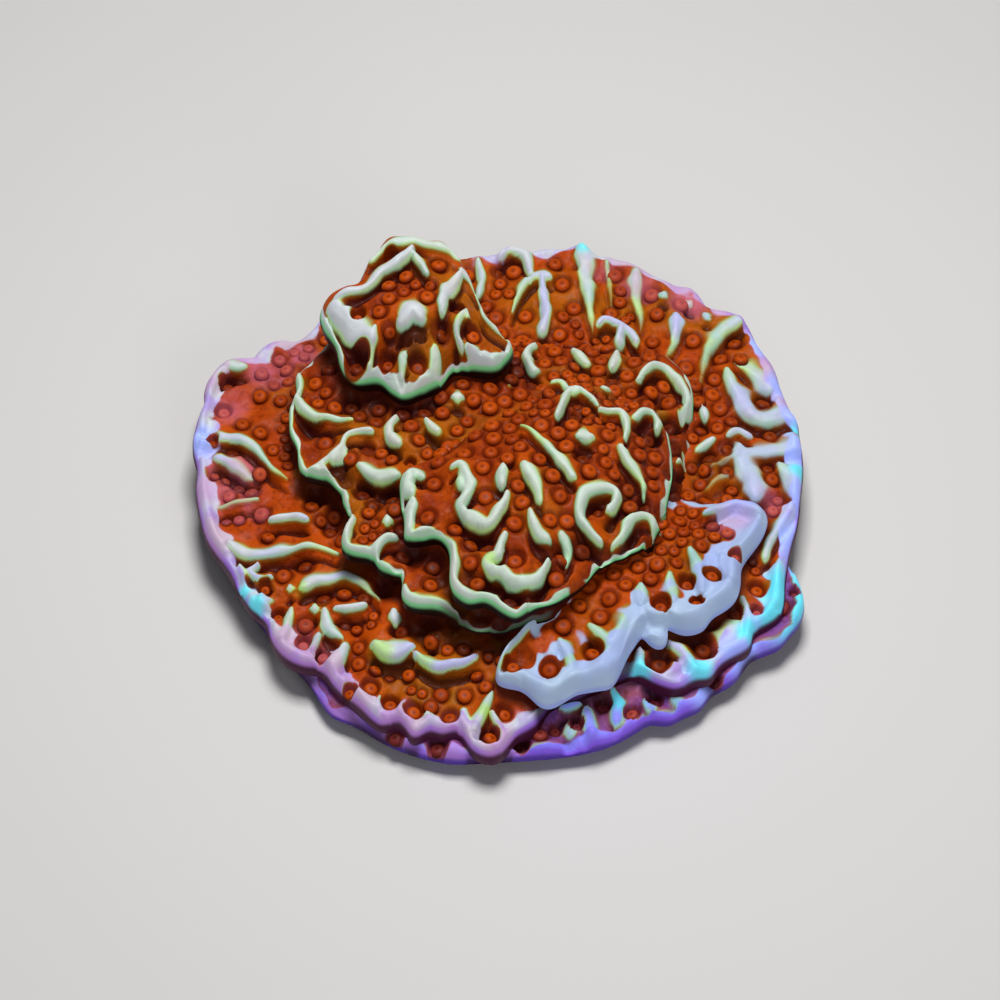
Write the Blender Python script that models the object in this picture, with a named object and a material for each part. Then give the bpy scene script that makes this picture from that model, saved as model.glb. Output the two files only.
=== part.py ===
"""A plating montipora colony, cut flat underneath, about 66 mm across.

The colony grew as shelves one above another: a thin base plate round the flat cut, a
broad main plate, a thick shelf at the front, a middle tier, a domed crown and a raised
knoll at the back left. Each shelf is one solid with its rim, ridges and polyp pits.
Working lengths here are millimetres; the finished meshes are in metres.

The rims and ridges were laid out on one oblique view of the colony, 1000 units wide.
Their places are written as points of that view, (across, down), and each is carried
along the line of sight to the height of the shelf that it lies on.
"""
import math

import bpy
import numpy as np

# Driving dimensions, in millimetres
COLONY_WIDTH = 65.7
SHELF_GAP = 0.4
THINNEST = 0.9
RIDGE_HEIGHT = 1.35
MM = 0.001

# The oblique view that the rims and ridges are laid out on
VIEW_SPAN = 614.0
VIEW_CENTRE = 500.0
VIEW_DISTANCE = 446.0
VIEW_ELEVATION = math.radians(55.0)
VIEW_TARGET = np.array([0.0, -2.0, 8.0])
UNIT = COLONY_WIDTH / VIEW_SPAN

# Mesh
GRID = 150
TRIANGLES = {
    "base_plate": 1100,
    "main_plate": 3300,
    "front_shelf": 1300,
    "middle_tier": 1500,
    "crown": 1400,
    "knoll": 1300,
}

# Rims, as (across, down, height in mm), clockwise in the view from the left
RIMS = {
    "base_plate": [
        (212, 470, 4.6), (214, 520, 4.4), (228, 560, 4.2), (243, 600, 3.8), (262, 625, 3.4),
        (285, 655, 3.2), (310, 682, 3.0), (318, 695, 3.0), (331, 712, 3.0), (355, 722, 3.0),
        (382, 738, 2.8), (410, 750, 2.8), (450, 759, 2.8), (490, 758, 2.8), (525, 756, 2.8),
        (560, 753, 2.8), (590, 748, 3.0), (615, 740, 3.0), (640, 726, 3.0), (652, 719, 3.0),
        (668, 722, 3.0), (685, 713, 3.0), (700, 707, 3.0), (712, 692, 3.0), (735, 679, 3.2),
        (750, 658, 3.4), (768, 650, 3.6), (781, 645, 3.8), (788, 635, 4.0), (800, 622, 4.2),
        (805, 603, 4.4), (799, 580, 4.6), (788, 560, 4.8), (782, 500, 4.8), (780, 430, 4.6),
        (755, 365, 4.6), (700, 315, 4.6), (620, 282, 4.6), (540, 275, 4.6), (460, 284, 4.6),
        (385, 312, 4.6), (310, 355, 4.6), (250, 390, 4.6), (222, 430, 4.6),
    ],
    "main_plate": [
        (192, 440, 7.4), (196, 420, 7.6), (204, 403, 7.8), (203, 390, 7.8), (210, 373, 7.8),
        (221, 363, 8.0), (236, 358, 8.0), (250, 361, 8.0), (259, 347, 8.0), (275, 340, 8.0),
        (290, 339, 8.0), (302, 335, 8.0), (313, 329, 8.0), (322, 315, 8.2), (345, 300, 8.4),
        (385, 276, 8.6), (430, 262, 8.8), (480, 256, 9.0), (500, 253, 9.2), (517, 250, 9.4),
        (532, 251, 9.4), (543, 247, 9.6), (560, 250, 9.6), (577, 244, 10.0), (590, 248, 9.8),
        (598, 258, 9.2), (610, 255, 9.2), (627, 261, 9.0), (645, 271, 8.8), (660, 276, 8.6),
        (675, 283, 8.6), (690, 286, 8.4), (702, 296, 8.2), (708, 307, 8.0), (727, 311, 8.0),
        (742, 317, 7.8), (752, 329, 7.8), (757, 342, 7.6), (766, 353, 7.6), (776, 369, 7.4),
        (781, 386, 7.2), (789, 405, 7.2), (798, 421, 7.0), (801, 440, 7.0), (804, 465, 6.8),
        (801, 500, 6.6), (798, 525, 6.4), (791, 550, 6.2), (786, 580, 6.0), (785, 605, 5.8),
        (778, 619, 5.6), (764, 628, 5.4), (754, 633, 5.2), (752, 646, 5.2), (742, 656, 5.2),
        (728, 661, 5.2), (718, 669, 5.2), (711, 680, 5.2), (695, 682, 5.2), (680, 691, 5.2),
        (664, 689, 5.2), (650, 683, 5.2), (636, 674, 5.2), (615, 682, 5.0), (590, 692, 5.0),
        (560, 702, 5.0), (545, 712, 4.8), (541, 724, 4.8), (528, 733, 4.8), (514, 738, 4.6),
        (508, 750, 4.6), (498, 758, 4.6), (484, 758, 4.6), (470, 751, 4.6), (463, 736, 4.8),
        (453, 734, 4.8), (445, 737, 4.8), (434, 733, 4.8), (425, 732, 4.8), (416, 742, 4.8),
        (408, 736, 4.8), (402, 727, 4.8), (393, 724, 4.8), (384, 728, 4.8), (370, 720, 4.8),
        (354, 706, 5.0), (336, 691, 5.0), (325, 676, 5.2), (316, 669, 5.0), (303, 668, 5.2),
        (286, 661, 5.2), (276, 651, 5.2), (270, 640, 5.4), (265, 622, 5.4), (252, 612, 5.6),
        (243, 600, 5.8), (235, 585, 6.0), (229, 573, 6.2), (220, 560, 6.4), (207, 542, 6.6),
        (200, 520, 6.8), (195, 490, 7.0), (197, 470, 7.2), (193, 455, 7.4),
    ],
    "front_shelf": [
        (520, 560, 8.6), (524, 600, 9.0), (533, 625, 10.0), (520, 637, 9.8), (508, 648, 9.6),
        (499, 660, 9.4), (492, 673, 9.2), (500, 681, 9.2), (518, 682, 9.0), (530, 691, 8.8),
        (541, 702, 8.6), (553, 704, 8.6), (562, 698, 8.6), (567, 688, 8.8), (580, 687, 8.8),
        (598, 684, 9.0), (616, 681, 9.0), (620, 666, 9.2), (626, 653, 9.4), (635, 640, 9.6),
        (643, 630, 9.6), (650, 638, 9.4), (660, 643, 9.4), (668, 637, 9.4), (668, 621, 9.6),
        (680, 627, 9.6), (692, 628, 9.6), (704, 624, 9.6), (714, 611, 9.6), (726, 604, 9.6),
        (737, 594, 9.6), (741, 580, 9.6), (742, 563, 9.6), (751, 548, 9.6), (762, 534, 9.6),
        (769, 514, 9.4), (758, 503, 9.0), (735, 502, 8.6), (705, 490, 8.4), (660, 470, 8.4),
        (600, 480, 8.4), (545, 515, 8.4),
    ],
    "middle_tier": [
        (289, 425, 12.6), (289, 408, 12.6), (297, 393, 12.8), (294, 380, 12.8), (303, 371, 12.8),
        (318, 352, 12.4), (334, 334, 11.8), (354, 316, 11.2), (390, 304, 10.8), (440, 304, 10.4),
        (480, 316, 9.8), (508, 330, 9.6), (550, 338, 9.4),
        (600, 342, 9.4), (636, 356, 9.8), (655, 357, 10.2), (672, 362, 10.2), (685, 378, 10.0),
        (692, 398, 10.0), (706, 412, 9.6), (711, 438, 9.6), (702, 455, 9.4), (700, 480, 9.4),
        (697, 502, 9.4), (680, 520, 9.6), (655, 548, 10.0), (620, 570, 10.4), (590, 592, 10.8),
        (560, 612, 11.2), (530, 622, 11.4), (500, 630, 11.6), (470, 628, 11.6), (455, 620, 11.6),
        (440, 612, 11.6), (412, 609, 11.6), (401, 600, 11.6), (400, 588, 11.8), (412, 577, 11.8),
        (396, 577, 11.8), (379, 571, 11.8), (372, 560, 11.8), (350, 557, 12.0), (341, 548, 12.0),
        (343, 533, 12.0), (352, 521, 12.2), (343, 507, 12.2), (341, 495, 12.2), (330, 484, 12.4),
        (318, 474, 12.4), (304, 480, 12.4), (298, 466, 12.4), (297, 449, 12.4), (290, 438, 12.6),
    ],
    "crown": [
        (400, 500, 15.4), (401, 476, 15.4), (420, 462, 15.0), (440, 440, 14.2), (470, 415, 13.4),
        (510, 395, 12.8), (550, 374, 12.4), (580, 370, 12.4), (612, 380, 12.4), (640, 402, 12.4),
        (662, 412, 12.4), (670, 440, 12.4), (673, 470, 12.4), (668, 500, 12.6), (662, 525, 12.8),
        (648, 544, 13.2), (622, 556, 13.8), (600, 566, 14.2), (582, 586, 14.4), (560, 600, 14.6),
        (535, 608, 14.8), (518, 620, 14.8), (506, 617, 14.8), (496, 610, 14.8), (482, 602, 14.8),
        (470, 607, 14.8), (457, 600, 14.8), (449, 585, 15.0), (450, 562, 15.0), (445, 546, 15.2),
        (426, 533, 15.4), (414, 545, 15.2), (404, 545, 15.2), (404, 522, 15.4),
    ],
    "knoll": [
        (320, 320, 18.0), (319, 311, 18.2), (327, 300, 18.6), (345, 294, 19.0), (357, 285, 19.4),
        (364, 270, 19.8), (376, 254, 20.4), (386, 241, 21.0), (402, 239, 21.2), (415, 237, 21.2),
        (430, 243, 21.0), (450, 249, 20.6), (461, 260, 20.0), (471, 280, 19.2), (477, 298, 18.4),
        (486, 318, 17.4), (498, 329, 17.0), (512, 342, 16.6), (514, 353, 16.4), (507, 364, 16.4),
        (498, 373, 16.4), (484, 372, 16.4), (474, 382, 16.4), (455, 390, 16.4), (436, 393, 16.4),
        (416, 396, 16.4), (404, 401, 16.4), (390, 394, 16.4), (380, 385, 16.4), (358, 386, 16.6),
        (345, 378, 16.8), (339, 366, 17.0), (336, 350, 17.4), (326, 336, 17.8),
    ],
}

# Height in the middle of each shelf, how sharply it falls to the rim, the thickness of
# the rim, and how far in from the rim, of the radius, the underside meets what is below
FORMS = {
    "base_plate": (5.2, 2.0, 1.9, 0.42),
    "main_plate": (9.4, 2.2, 2.4, 0.16),
    "front_shelf": (11.2, 2.0, 2.6, 0.26),
    "middle_tier": (15.2, 2.0, 2.2, 0.20),
    "crown": (19.2, 2.0, 2.2, 0.20),
    "knoll": (22.6, 2.6, 2.6, 0.22),
}
BELOW = {
    "base_plate": [],
    "main_plate": ["base_plate"],
    "front_shelf": ["main_plate"],
    "middle_tier": ["main_plate", "front_shelf"],
    "crown": ["middle_tier"],
    "knoll": ["middle_tier", "main_plate"],
}


# Ridges, as (half width in view units, height as a share of RIDGE_HEIGHT, points)
RIDGES = {
    "base_plate": [
        (6, 0.9, [(586, 706), (588, 721), (592, 738)]),
        (7, 0.9, [(611, 690), (616, 705), (614, 724)]),
        (5, 0.8, [(562, 708), (580, 701)]),
        (6, 0.8, [(646, 700), (654, 712)]),
        (6, 0.6, [(384, 733), (412, 745), (450, 753), (490, 752), (525, 750), (560, 747)]),
        (6, 0.6, [(592, 742), (616, 733), (640, 720), (668, 716), (698, 702), (716, 686)]),
        (6, 0.6, [(716, 686), (738, 673), (752, 654), (780, 640), (798, 620)]),
        (7, 0.8, [(797, 565), (799, 585), (801, 603), (795, 620)]),
    ],
    "main_plate": [
        (6.5, 1.0, [(500, 259), (506, 253), (516, 252), (526, 257), (530, 273)]),
        (6.0, 1.0, [(512, 312), (516, 300), (520, 288), (528, 280), (538, 275), (549, 277)]),
        (6.0, 1.0, [(543, 279), (541, 297), (546, 312), (544, 328), (540, 343)]),
        (7.5, 1.2, [(581, 250), (585, 262), (586, 280), (588, 300), (590, 315), (593, 329)]),
        (4.5, 0.9, [(605, 268), (609, 290), (612, 310)]),
        (6.0, 0.8, [(632, 275), (635, 290), (636, 305), (641, 320), (640, 329)]),
        (9.0, 1.1, [(676, 318), (676, 330)]),
        (6.0, 0.9, [(676, 330), (674, 346), (667, 357)]),
        (8.0, 1.0, [(735, 324), (722, 331), (712, 342), (706, 355), (703, 370), (698, 390)]),
        (6.0, 1.0, [(598, 322), (608, 320), (618, 327), (636, 337)]),
        (6.0, 1.0, [(618, 330), (617, 346)]),
        (6.0, 0.7, [(660, 294), (666, 298)]),
        (6.0, 0.7, [(686, 300), (691, 304)]),
        (6.0, 0.7, [(704, 315), (709, 319)]),
        (5.5, 0.9, [(728, 373), (731, 385), (742, 393), (745, 405), (748, 415), (757, 423),
                    (775, 425), (795, 421)]),
        (5.5, 0.9, [(735, 365), (750, 372), (760, 385), (765, 396)]),
        (5.5, 0.9, [(760, 450), (775, 448), (797, 445)]),
        (6.0, 0.9, [(778, 468), (785, 478), (795, 488), (797, 500)]),
        (5.0, 0.9, [(728, 432), (740, 428), (751, 436)]),
        (9.0, 0.8, [(740, 455), (745, 475), (738, 495)]),
        (7.0, 0.9, [(782, 560), (777, 580), (775, 600), (768, 615)]),
        (6.0, 0.8, [(765, 560), (770, 540), (783, 520), (793, 505)]),
        (5.5, 1.0, [(205, 450), (215, 443), (230, 442), (245, 447), (257, 453), (265, 465),
                    (285, 478)]),
        (6.0, 1.0, [(218, 462), (230, 464), (240, 470), (250, 476), (260, 473)]),
        (4.0, 0.8, [(240, 500), (258, 500)]),
        (5.0, 1.0, [(270, 521), (285, 518), (298, 517), (307, 520)]),
        (6.0, 1.1, [(228, 545), (241, 552), (258, 556), (275, 553), (290, 550), (303, 546),
                    (320, 545), (335, 552)]),
        (4.5, 0.8, [(240, 565), (243, 578)]),
        (5.0, 0.9, [(258, 565), (250, 573), (262, 581), (271, 578)]),
        (10.0, 1.0, [(262, 599), (264, 606)]),
        (7.0, 0.8, [(290, 586), (290, 591)]),
        (7.0, 1.1, [(303, 590), (315, 584), (330, 580), (345, 576), (352, 582), (366, 585),
                    (374, 592), (380, 600)]),
        (6.0, 0.8, [(315, 605), (315, 610)]),
        (7.0, 1.0, [(325, 608), (325, 622), (332, 633), (342, 639)]),
        (5.0, 0.9, [(335, 610), (350, 609), (365, 606)]),
        (7.0, 0.9, [(394, 612), (395, 622)]),
        (9.0, 1.2, [(378, 651), (390, 654), (400, 652), (410, 648)]),
        (7.0, 1.2, [(418, 657), (428, 664), (442, 668), (459, 664), (478, 656)]),
        (6.0, 1.0, [(455, 635), (465, 630), (478, 628), (487, 632), (495, 640)]),
        (5.0, 0.8, [(430, 640), (436, 638)]),
        (9.0, 0.8, [(228, 366), (244, 367)]),
        (7.0, 0.8, [(203, 430), (204, 410), (212, 386), (222, 371)]),
        (7.0, 0.7, [(201, 460), (201, 480), (205, 505), (211, 530), (223, 553), (235, 576)]),
        (6.0, 0.7, [(243, 592), (255, 608), (268, 622)]),
        (8.0, 0.9, [(277, 641), (287, 654), (301, 660), (313, 664)]),
        (6.0, 0.8, [(291, 610), (287, 625), (283, 640)]),
        (6.0, 0.8, [(319, 635), (312, 650)]),
        (10.0, 0.9, [(345, 648), (336, 662), (332, 675), (342, 688), (358, 702), (375, 715),
                     (386, 721)]),
        (8.0, 0.9, [(393, 719), (401, 723), (409, 731), (416, 737)]),
        (7.0, 0.9, [(416, 737), (424, 728), (434, 728), (445, 732), (455, 729)]),
        (5.0, 0.8, [(378, 712), (380, 697)]),
        (5.0, 0.8, [(400, 722), (402, 705)]),
        (6.0, 0.8, [(430, 726), (428, 710)]),
        (8.0, 0.9, [(464, 712), (466, 730), (469, 743), (478, 752), (488, 754), (499, 752),
                    (506, 744), (514, 733), (528, 729), (539, 720), (541, 711)]),
        (6.0, 1.0, [(492, 693), (487, 705), (482, 718), (478, 730)]),
        (5.0, 0.9, [(492, 713), (498, 725), (502, 738)]),
        (7.0, 1.0, [(639, 650), (640, 663), (645, 675), (656, 682), (668, 686), (681, 687)]),
        (6.0, 0.9, [(668, 640), (680, 650), (690, 664), (698, 674)]),
        (8.0, 0.9, [(681, 687), (695, 678), (709, 675), (717, 665), (729, 656), (743, 650),
                    (749, 640), (748, 622), (743, 600)]),
        (5.0, 0.8, [(648, 643), (658, 642), (668, 645)]),
        (6.0, 0.9, [(757, 624), (768, 620), (779, 612)]),
        (6.0, 0.8, [(342, 306), (350, 318), (352, 330)]),
        (6.0, 0.9, [(366, 290), (376, 300), (378, 314)]),
        (5.5, 0.8, [(392, 278), (402, 288), (402, 302)]),
        (6.0, 0.9, [(425, 268), (430, 282), (424, 296)]),
        (6.0, 0.8, [(455, 264), (452, 280), (460, 296)]),
        (5.5, 0.8, [(478, 262), (482, 280), (478, 296)]),
    ],
    "front_shelf": [
        (5.0, 1.0, [(535, 622), (520, 636), (509, 648), (501, 660), (496, 671), (502, 678),
                    (518, 679)]),
        (12.0, 0.9, [(528, 681), (540, 690), (551, 692), (560, 682)]),
        (13.0, 0.8, [(565, 676), (585, 675), (601, 671), (611, 657), (618, 641), (630, 623),
                     (645, 612)]),
        (12.0, 0.8, [(650, 612), (672, 612), (690, 618), (704, 612), (721, 597), (732, 580)]),
        (11.0, 0.8, [(732, 580), (735, 561), (748, 540), (758, 522)]),
        (6.0, 0.9, [(705, 515), (720, 508), (735, 505), (750, 509), (761, 515)]),
        (7.0, 0.7, [(590, 625), (600, 635), (607, 645)]),
        (8.0, 0.7, [(641, 605), (641, 585)]),
        (8.0, 0.7, [(673, 600), (670, 575)]),
        (7.0, 0.7, [(702, 592), (697, 565), (690, 550)]),
        (7.0, 0.7, [(727, 577), (722, 555)]),
        (7.0, 0.7, [(573, 672), (568, 652), (560, 640)]),
    ],
    "middle_tier": [
        (6.5, 1.0, [(297, 377), (300, 388), (299, 398), (302, 408), (313, 415), (326, 416),
                    (341, 415), (352, 418)]),
        (6.5, 1.0, [(292, 409), (292, 424), (294, 437), (300, 448), (301, 463), (305, 475),
                    (312, 469), (320, 463), (331, 460), (343, 446), (346, 437), (356, 433),
                    (372, 434)]),
        (6.0, 1.0, [(320, 465), (328, 475), (338, 487), (344, 497), (345, 508), (352, 519)]),
        (8.0, 1.0, [(360, 467), (371, 472), (385, 478), (398, 475)]),
        (6.0, 1.0, [(396, 418), (389, 426), (391, 437), (399, 444)]),
        (5.0, 0.9, [(426, 418), (433, 428), (443, 435), (455, 438)]),
        (7.0, 1.0, [(482, 400), (491, 409), (496, 419)]),
        (8.0, 0.9, [(453, 398), (461, 398)]),
        (5.0, 0.8, [(510, 385), (518, 392), (526, 398)]),
        (6.5, 1.0, [(353, 522), (347, 532), (345, 544), (351, 553), (370, 554)]),
        (7.0, 0.9, [(387, 517), (387, 524)]),
        (7.0, 1.0, [(386, 540), (378, 550), (376, 560), (383, 569), (395, 574), (406, 574),
                    (416, 569)]),
        (7.0, 1.0, [(404, 589), (406, 599), (415, 605), (431, 608), (443, 609), (456, 616)]),
        (6.0, 1.0, [(636, 384), (644, 375), (655, 368), (665, 369), (672, 378), (679, 388),
                    (686, 398), (688, 406), (683, 413), (675, 415)]),
        (5.5, 1.0, [(665, 455), (668, 470), (664, 485), (656, 495), (650, 491)]),
        (5.0, 0.8, [(685, 450), (687, 458), (681, 465)]),
        (5.0, 0.8, [(707, 436), (707, 442)]),
        (5.0, 0.8, [(696, 446), (696, 451)]),
        (5.0, 0.8, [(702, 412), (703, 418)]),
        (5.0, 0.8, [(693, 496), (693, 501)]),
        (5.0, 0.8, [(671, 503), (671, 508)]),
        (5.0, 0.8, [(688, 426), (688, 431)]),
        (5.0, 0.9, [(548, 607), (556, 609), (564, 606)]),
        (5.0, 0.8, [(527, 605), (540, 604)]),
        (5.5, 1.0, [(535, 347), (527, 353), (528, 361), (534, 370), (541, 374)]),
        (4.5, 0.8, [(555, 372), (563, 370)]),
        (6.0, 0.9, [(573, 350), (580, 356), (588, 363)]),
        (6.0, 1.0, [(617, 354), (612, 367)]),
    ],
    "crown": [
        (8.5, 1.0, [(411, 476), (407, 487), (412, 497)]),
        (8.0, 1.0, [(412, 503), (409, 520), (408, 540)]),
        (5.0, 0.9, [(405, 478), (415, 472), (423, 477)]),
        (6.5, 1.0, [(408, 541), (417, 538), (426, 534), (436, 541), (447, 547), (452, 557),
                    (452, 570), (453, 584), (459, 594), (467, 600), (475, 602), (484, 600),
                    (492, 604), (501, 609), (509, 614), (518, 616), (526, 609)]),
        (6.5, 1.0, [(450, 470), (458, 467), (466, 475), (470, 487), (467, 497), (461, 504),
                    (463, 515), (472, 522), (485, 529), (492, 525), (496, 515), (503, 505),
                    (507, 495)]),
        (6.0, 1.0, [(503, 468), (502, 478), (502, 487)]),
        (7.0, 1.0, [(520, 465), (530, 475), (537, 487), (540, 501)]),
        (6.5, 1.0, [(530, 515), (533, 527), (540, 538), (548, 542)]),
        (6.0, 1.0, [(505, 535), (500, 545), (498, 556), (487, 562), (492, 570), (503, 573),
                    (512, 580), (525, 583), (538, 577), (548, 561)]),
        (6.5, 1.0, [(521, 424), (535, 433), (546, 445), (558, 455), (566, 467), (576, 478)]),
        (9.0, 1.0, [(579, 437), (591, 437)]),
        (6.0, 1.0, [(558, 415), (563, 401), (571, 393), (581, 392), (590, 398), (598, 408)]),
        (5.0, 0.8, [(552, 385), (561, 382), (569, 390)]),
        (6.0, 0.9, [(603, 387), (609, 389)]),
        (6.0, 1.0, [(600, 412), (613, 411), (622, 415), (626, 425), (625, 440), (623, 452),
                    (631, 465), (640, 475), (645, 486), (643, 498)]),
        (5.5, 0.9, [(635, 418), (643, 413), (652, 413), (658, 420), (657, 431)]),
        (6.0, 1.0, [(608, 512), (614, 504), (617, 494), (610, 488), (596, 489), (585, 493),
                    (581, 505), (581, 519), (588, 530), (600, 543)]),
        (4.5, 0.9, [(560, 533), (567, 541), (568, 555), (567, 565)]),
        (5.5, 0.9, [(635, 520), (628, 532), (622, 543), (613, 551), (604, 551)]),
        (5.0, 0.9, [(650, 510), (656, 520), (654, 534), (647, 541)]),
        (5.0, 0.8, [(595, 562), (587, 573), (580, 583)]),
    ],
    "knoll": [
        (11.0, 1.1, [(332, 310), (345, 322), (358, 335), (372, 342)]),
        (7.0, 1.0, [(336, 302), (352, 292), (370, 283), (382, 272), (395, 264), (405, 255),
                    (412, 248)]),
        (5.0, 0.8, [(412, 250), (420, 262), (427, 275)]),
        (6.0, 0.8, [(371, 264), (380, 253), (390, 246), (402, 243), (415, 241), (430, 247),
                    (449, 253), (458, 262)]),
        (6.0, 1.0, [(441, 312), (440, 295), (444, 281), (455, 275), (463, 271), (469, 283),
                    (474, 297)]),
        (11.0, 1.1, [(402, 322), (413, 312), (421, 320)]),
        (6.5, 1.0, [(324, 320), (330, 335), (339, 350), (343, 365), (350, 375), (361, 381),
                    (378, 380), (391, 389), (403, 396), (413, 393), (427, 389)]),
        (6.0, 0.9, [(474, 297), (483, 317), (496, 330), (508, 343), (510, 352), (504, 361),
                    (496, 369), (483, 368), (471, 377), (453, 385), (436, 388)]),
        (5.0, 0.8, [(376, 356), (372, 368), (369, 378)]),
        (5.0, 0.8, [(405, 362), (403, 376), (401, 388)]),
        (5.0, 0.7, [(437, 366), (435, 376), (433, 386)]),
        (5.0, 0.9, [(470, 338), (463, 346), (459, 355), (460, 364)]),
    ],
}

# Pits that the largest polyps sit in, as (across, down, radius in view units)
PITS = {
    "base_plate": [
        (555, 728, 8), (575, 725, 8), (603, 704, 10), (635, 711, 9), (660, 697, 9), (395, 734, 8),
        (435, 743, 9),
    ],
    "main_plate": [
        (658, 662, 13), (705, 645, 14), (757, 585, 10), (757, 609, 8), (490, 732, 9),
        (507, 710, 10), (370, 685, 12), (390, 700, 10), (413, 708, 11), (450, 715, 10),
        (303, 640, 10), (323, 655, 8), (548, 358, 9), (227, 379, 9), (223, 407, 9),
    ],
    "front_shelf": [
        (550, 663, 12), (592, 647, 12), (660, 603, 11), (685, 577, 9), (697, 600, 9),
        (711, 572, 11), (524, 655, 12),
    ],
    "middle_tier": [(325, 437, 14), (410, 458, 8)],
    "crown": [(598, 505, 10), (515, 555, 14)],
    "knoll": [(358, 357, 12), (388, 367, 10), (419, 377, 10), (358, 312, 8), (457, 300, 10)],
}
PIT_DEPTH = 0.8

# How the underside arches from its seat to the rim: under 1 is steep at the seat
HOLLOW = 0.6

# Linear colour and roughness of each shelf
COLOURS = {
    "base_plate": ((0.14, 0.10, 0.55), 0.45),
    "main_plate": ((0.42, 0.12, 0.03), 0.45),
    "front_shelf": ((0.50, 0.45, 0.60), 0.40),
    "middle_tier": ((0.36, 0.10, 0.02), 0.45),
    "crown": ((0.34, 0.09, 0.02), 0.45),
    "knoll": ((0.44, 0.22, 0.10), 0.45),
}


def sight(across, down, height):
    """Plan point where the line of sight through a point of the view meets a height."""
    sine = math.sin(VIEW_ELEVATION)
    cosine = math.cos(VIEW_ELEVATION)
    right = (np.asarray(across, float) - VIEW_CENTRE) * UNIT
    up = (VIEW_CENTRE - np.asarray(down, float)) * UNIT
    eye_y = VIEW_TARGET[1] - VIEW_DISTANCE * cosine
    eye_z = VIEW_TARGET[2] + VIEW_DISTANCE * sine
    ray_y = VIEW_DISTANCE * cosine + up * sine
    ray_z = -VIEW_DISTANCE * sine + up * cosine
    reach = (np.asarray(height, float) - eye_z) / ray_z
    return VIEW_TARGET[0] + right * reach, eye_y + ray_y * reach


def smooth_points(points, closed, steps):
    """Points along a Catmull-Rom curve through the given points."""
    points = np.asarray(points, float)
    if closed:
        padded = np.vstack([points[-1:], points, points[:2]])
    else:
        padded = np.vstack([2 * points[0] - points[1], points, 2 * points[-1] - points[-2]])
    t = (np.arange(steps) / steps)[:, None]
    runs = []
    for a, b, c, d in zip(padded, padded[1:], padded[2:], padded[3:]):
        bend = 2 * a - 5 * b + 4 * c - d
        twist = 3 * b - a - 3 * c + d
        runs.append(0.5 * (2 * b + (c - a) * t + bend * t * t + twist * t ** 3))
    if not closed:
        runs.append(points[-1:])
    return np.vstack(runs)


class Rim:
    """The lobed outline of a shelf, seen as a radius and a height in each direction."""

    def __init__(self, name):
        """Carry the rim's points to the plan and sort them round the middle."""
        points = np.array(RIMS[name], float)
        plan = np.column_stack([*sight(points[:, 0], points[:, 1], points[:, 2]), points[:, 2]])
        loop = smooth_points(plan, True, 6)
        self.centre = (loop[:, :2].max(axis=0) + loop[:, :2].min(axis=0)) / 2
        arm = loop[:, :2] - self.centre
        angle = np.arctan2(arm[:, 1], arm[:, 0]) % math.tau
        order = np.argsort(angle)
        self.angles = angle[order]
        self.radii = np.hypot(arm[:, 0], arm[:, 1])[order]
        self.heights = loop[order, 2]

    def at(self, angle):
        """Radius and height of the rim in a direction from the centre."""
        radius = np.interp(angle, self.angles, self.radii, period=math.tau)
        height = np.interp(angle, self.angles, self.heights, period=math.tau)
        return radius, height

    def share(self, x, y):
        """How far out plan points are, as a share of the radius, and the rim's height."""
        dx = x - self.centre[0]
        dy = y - self.centre[1]
        radius, height = self.at(np.arctan2(dy, dx))
        return np.hypot(dx, dy) / radius, height


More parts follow.
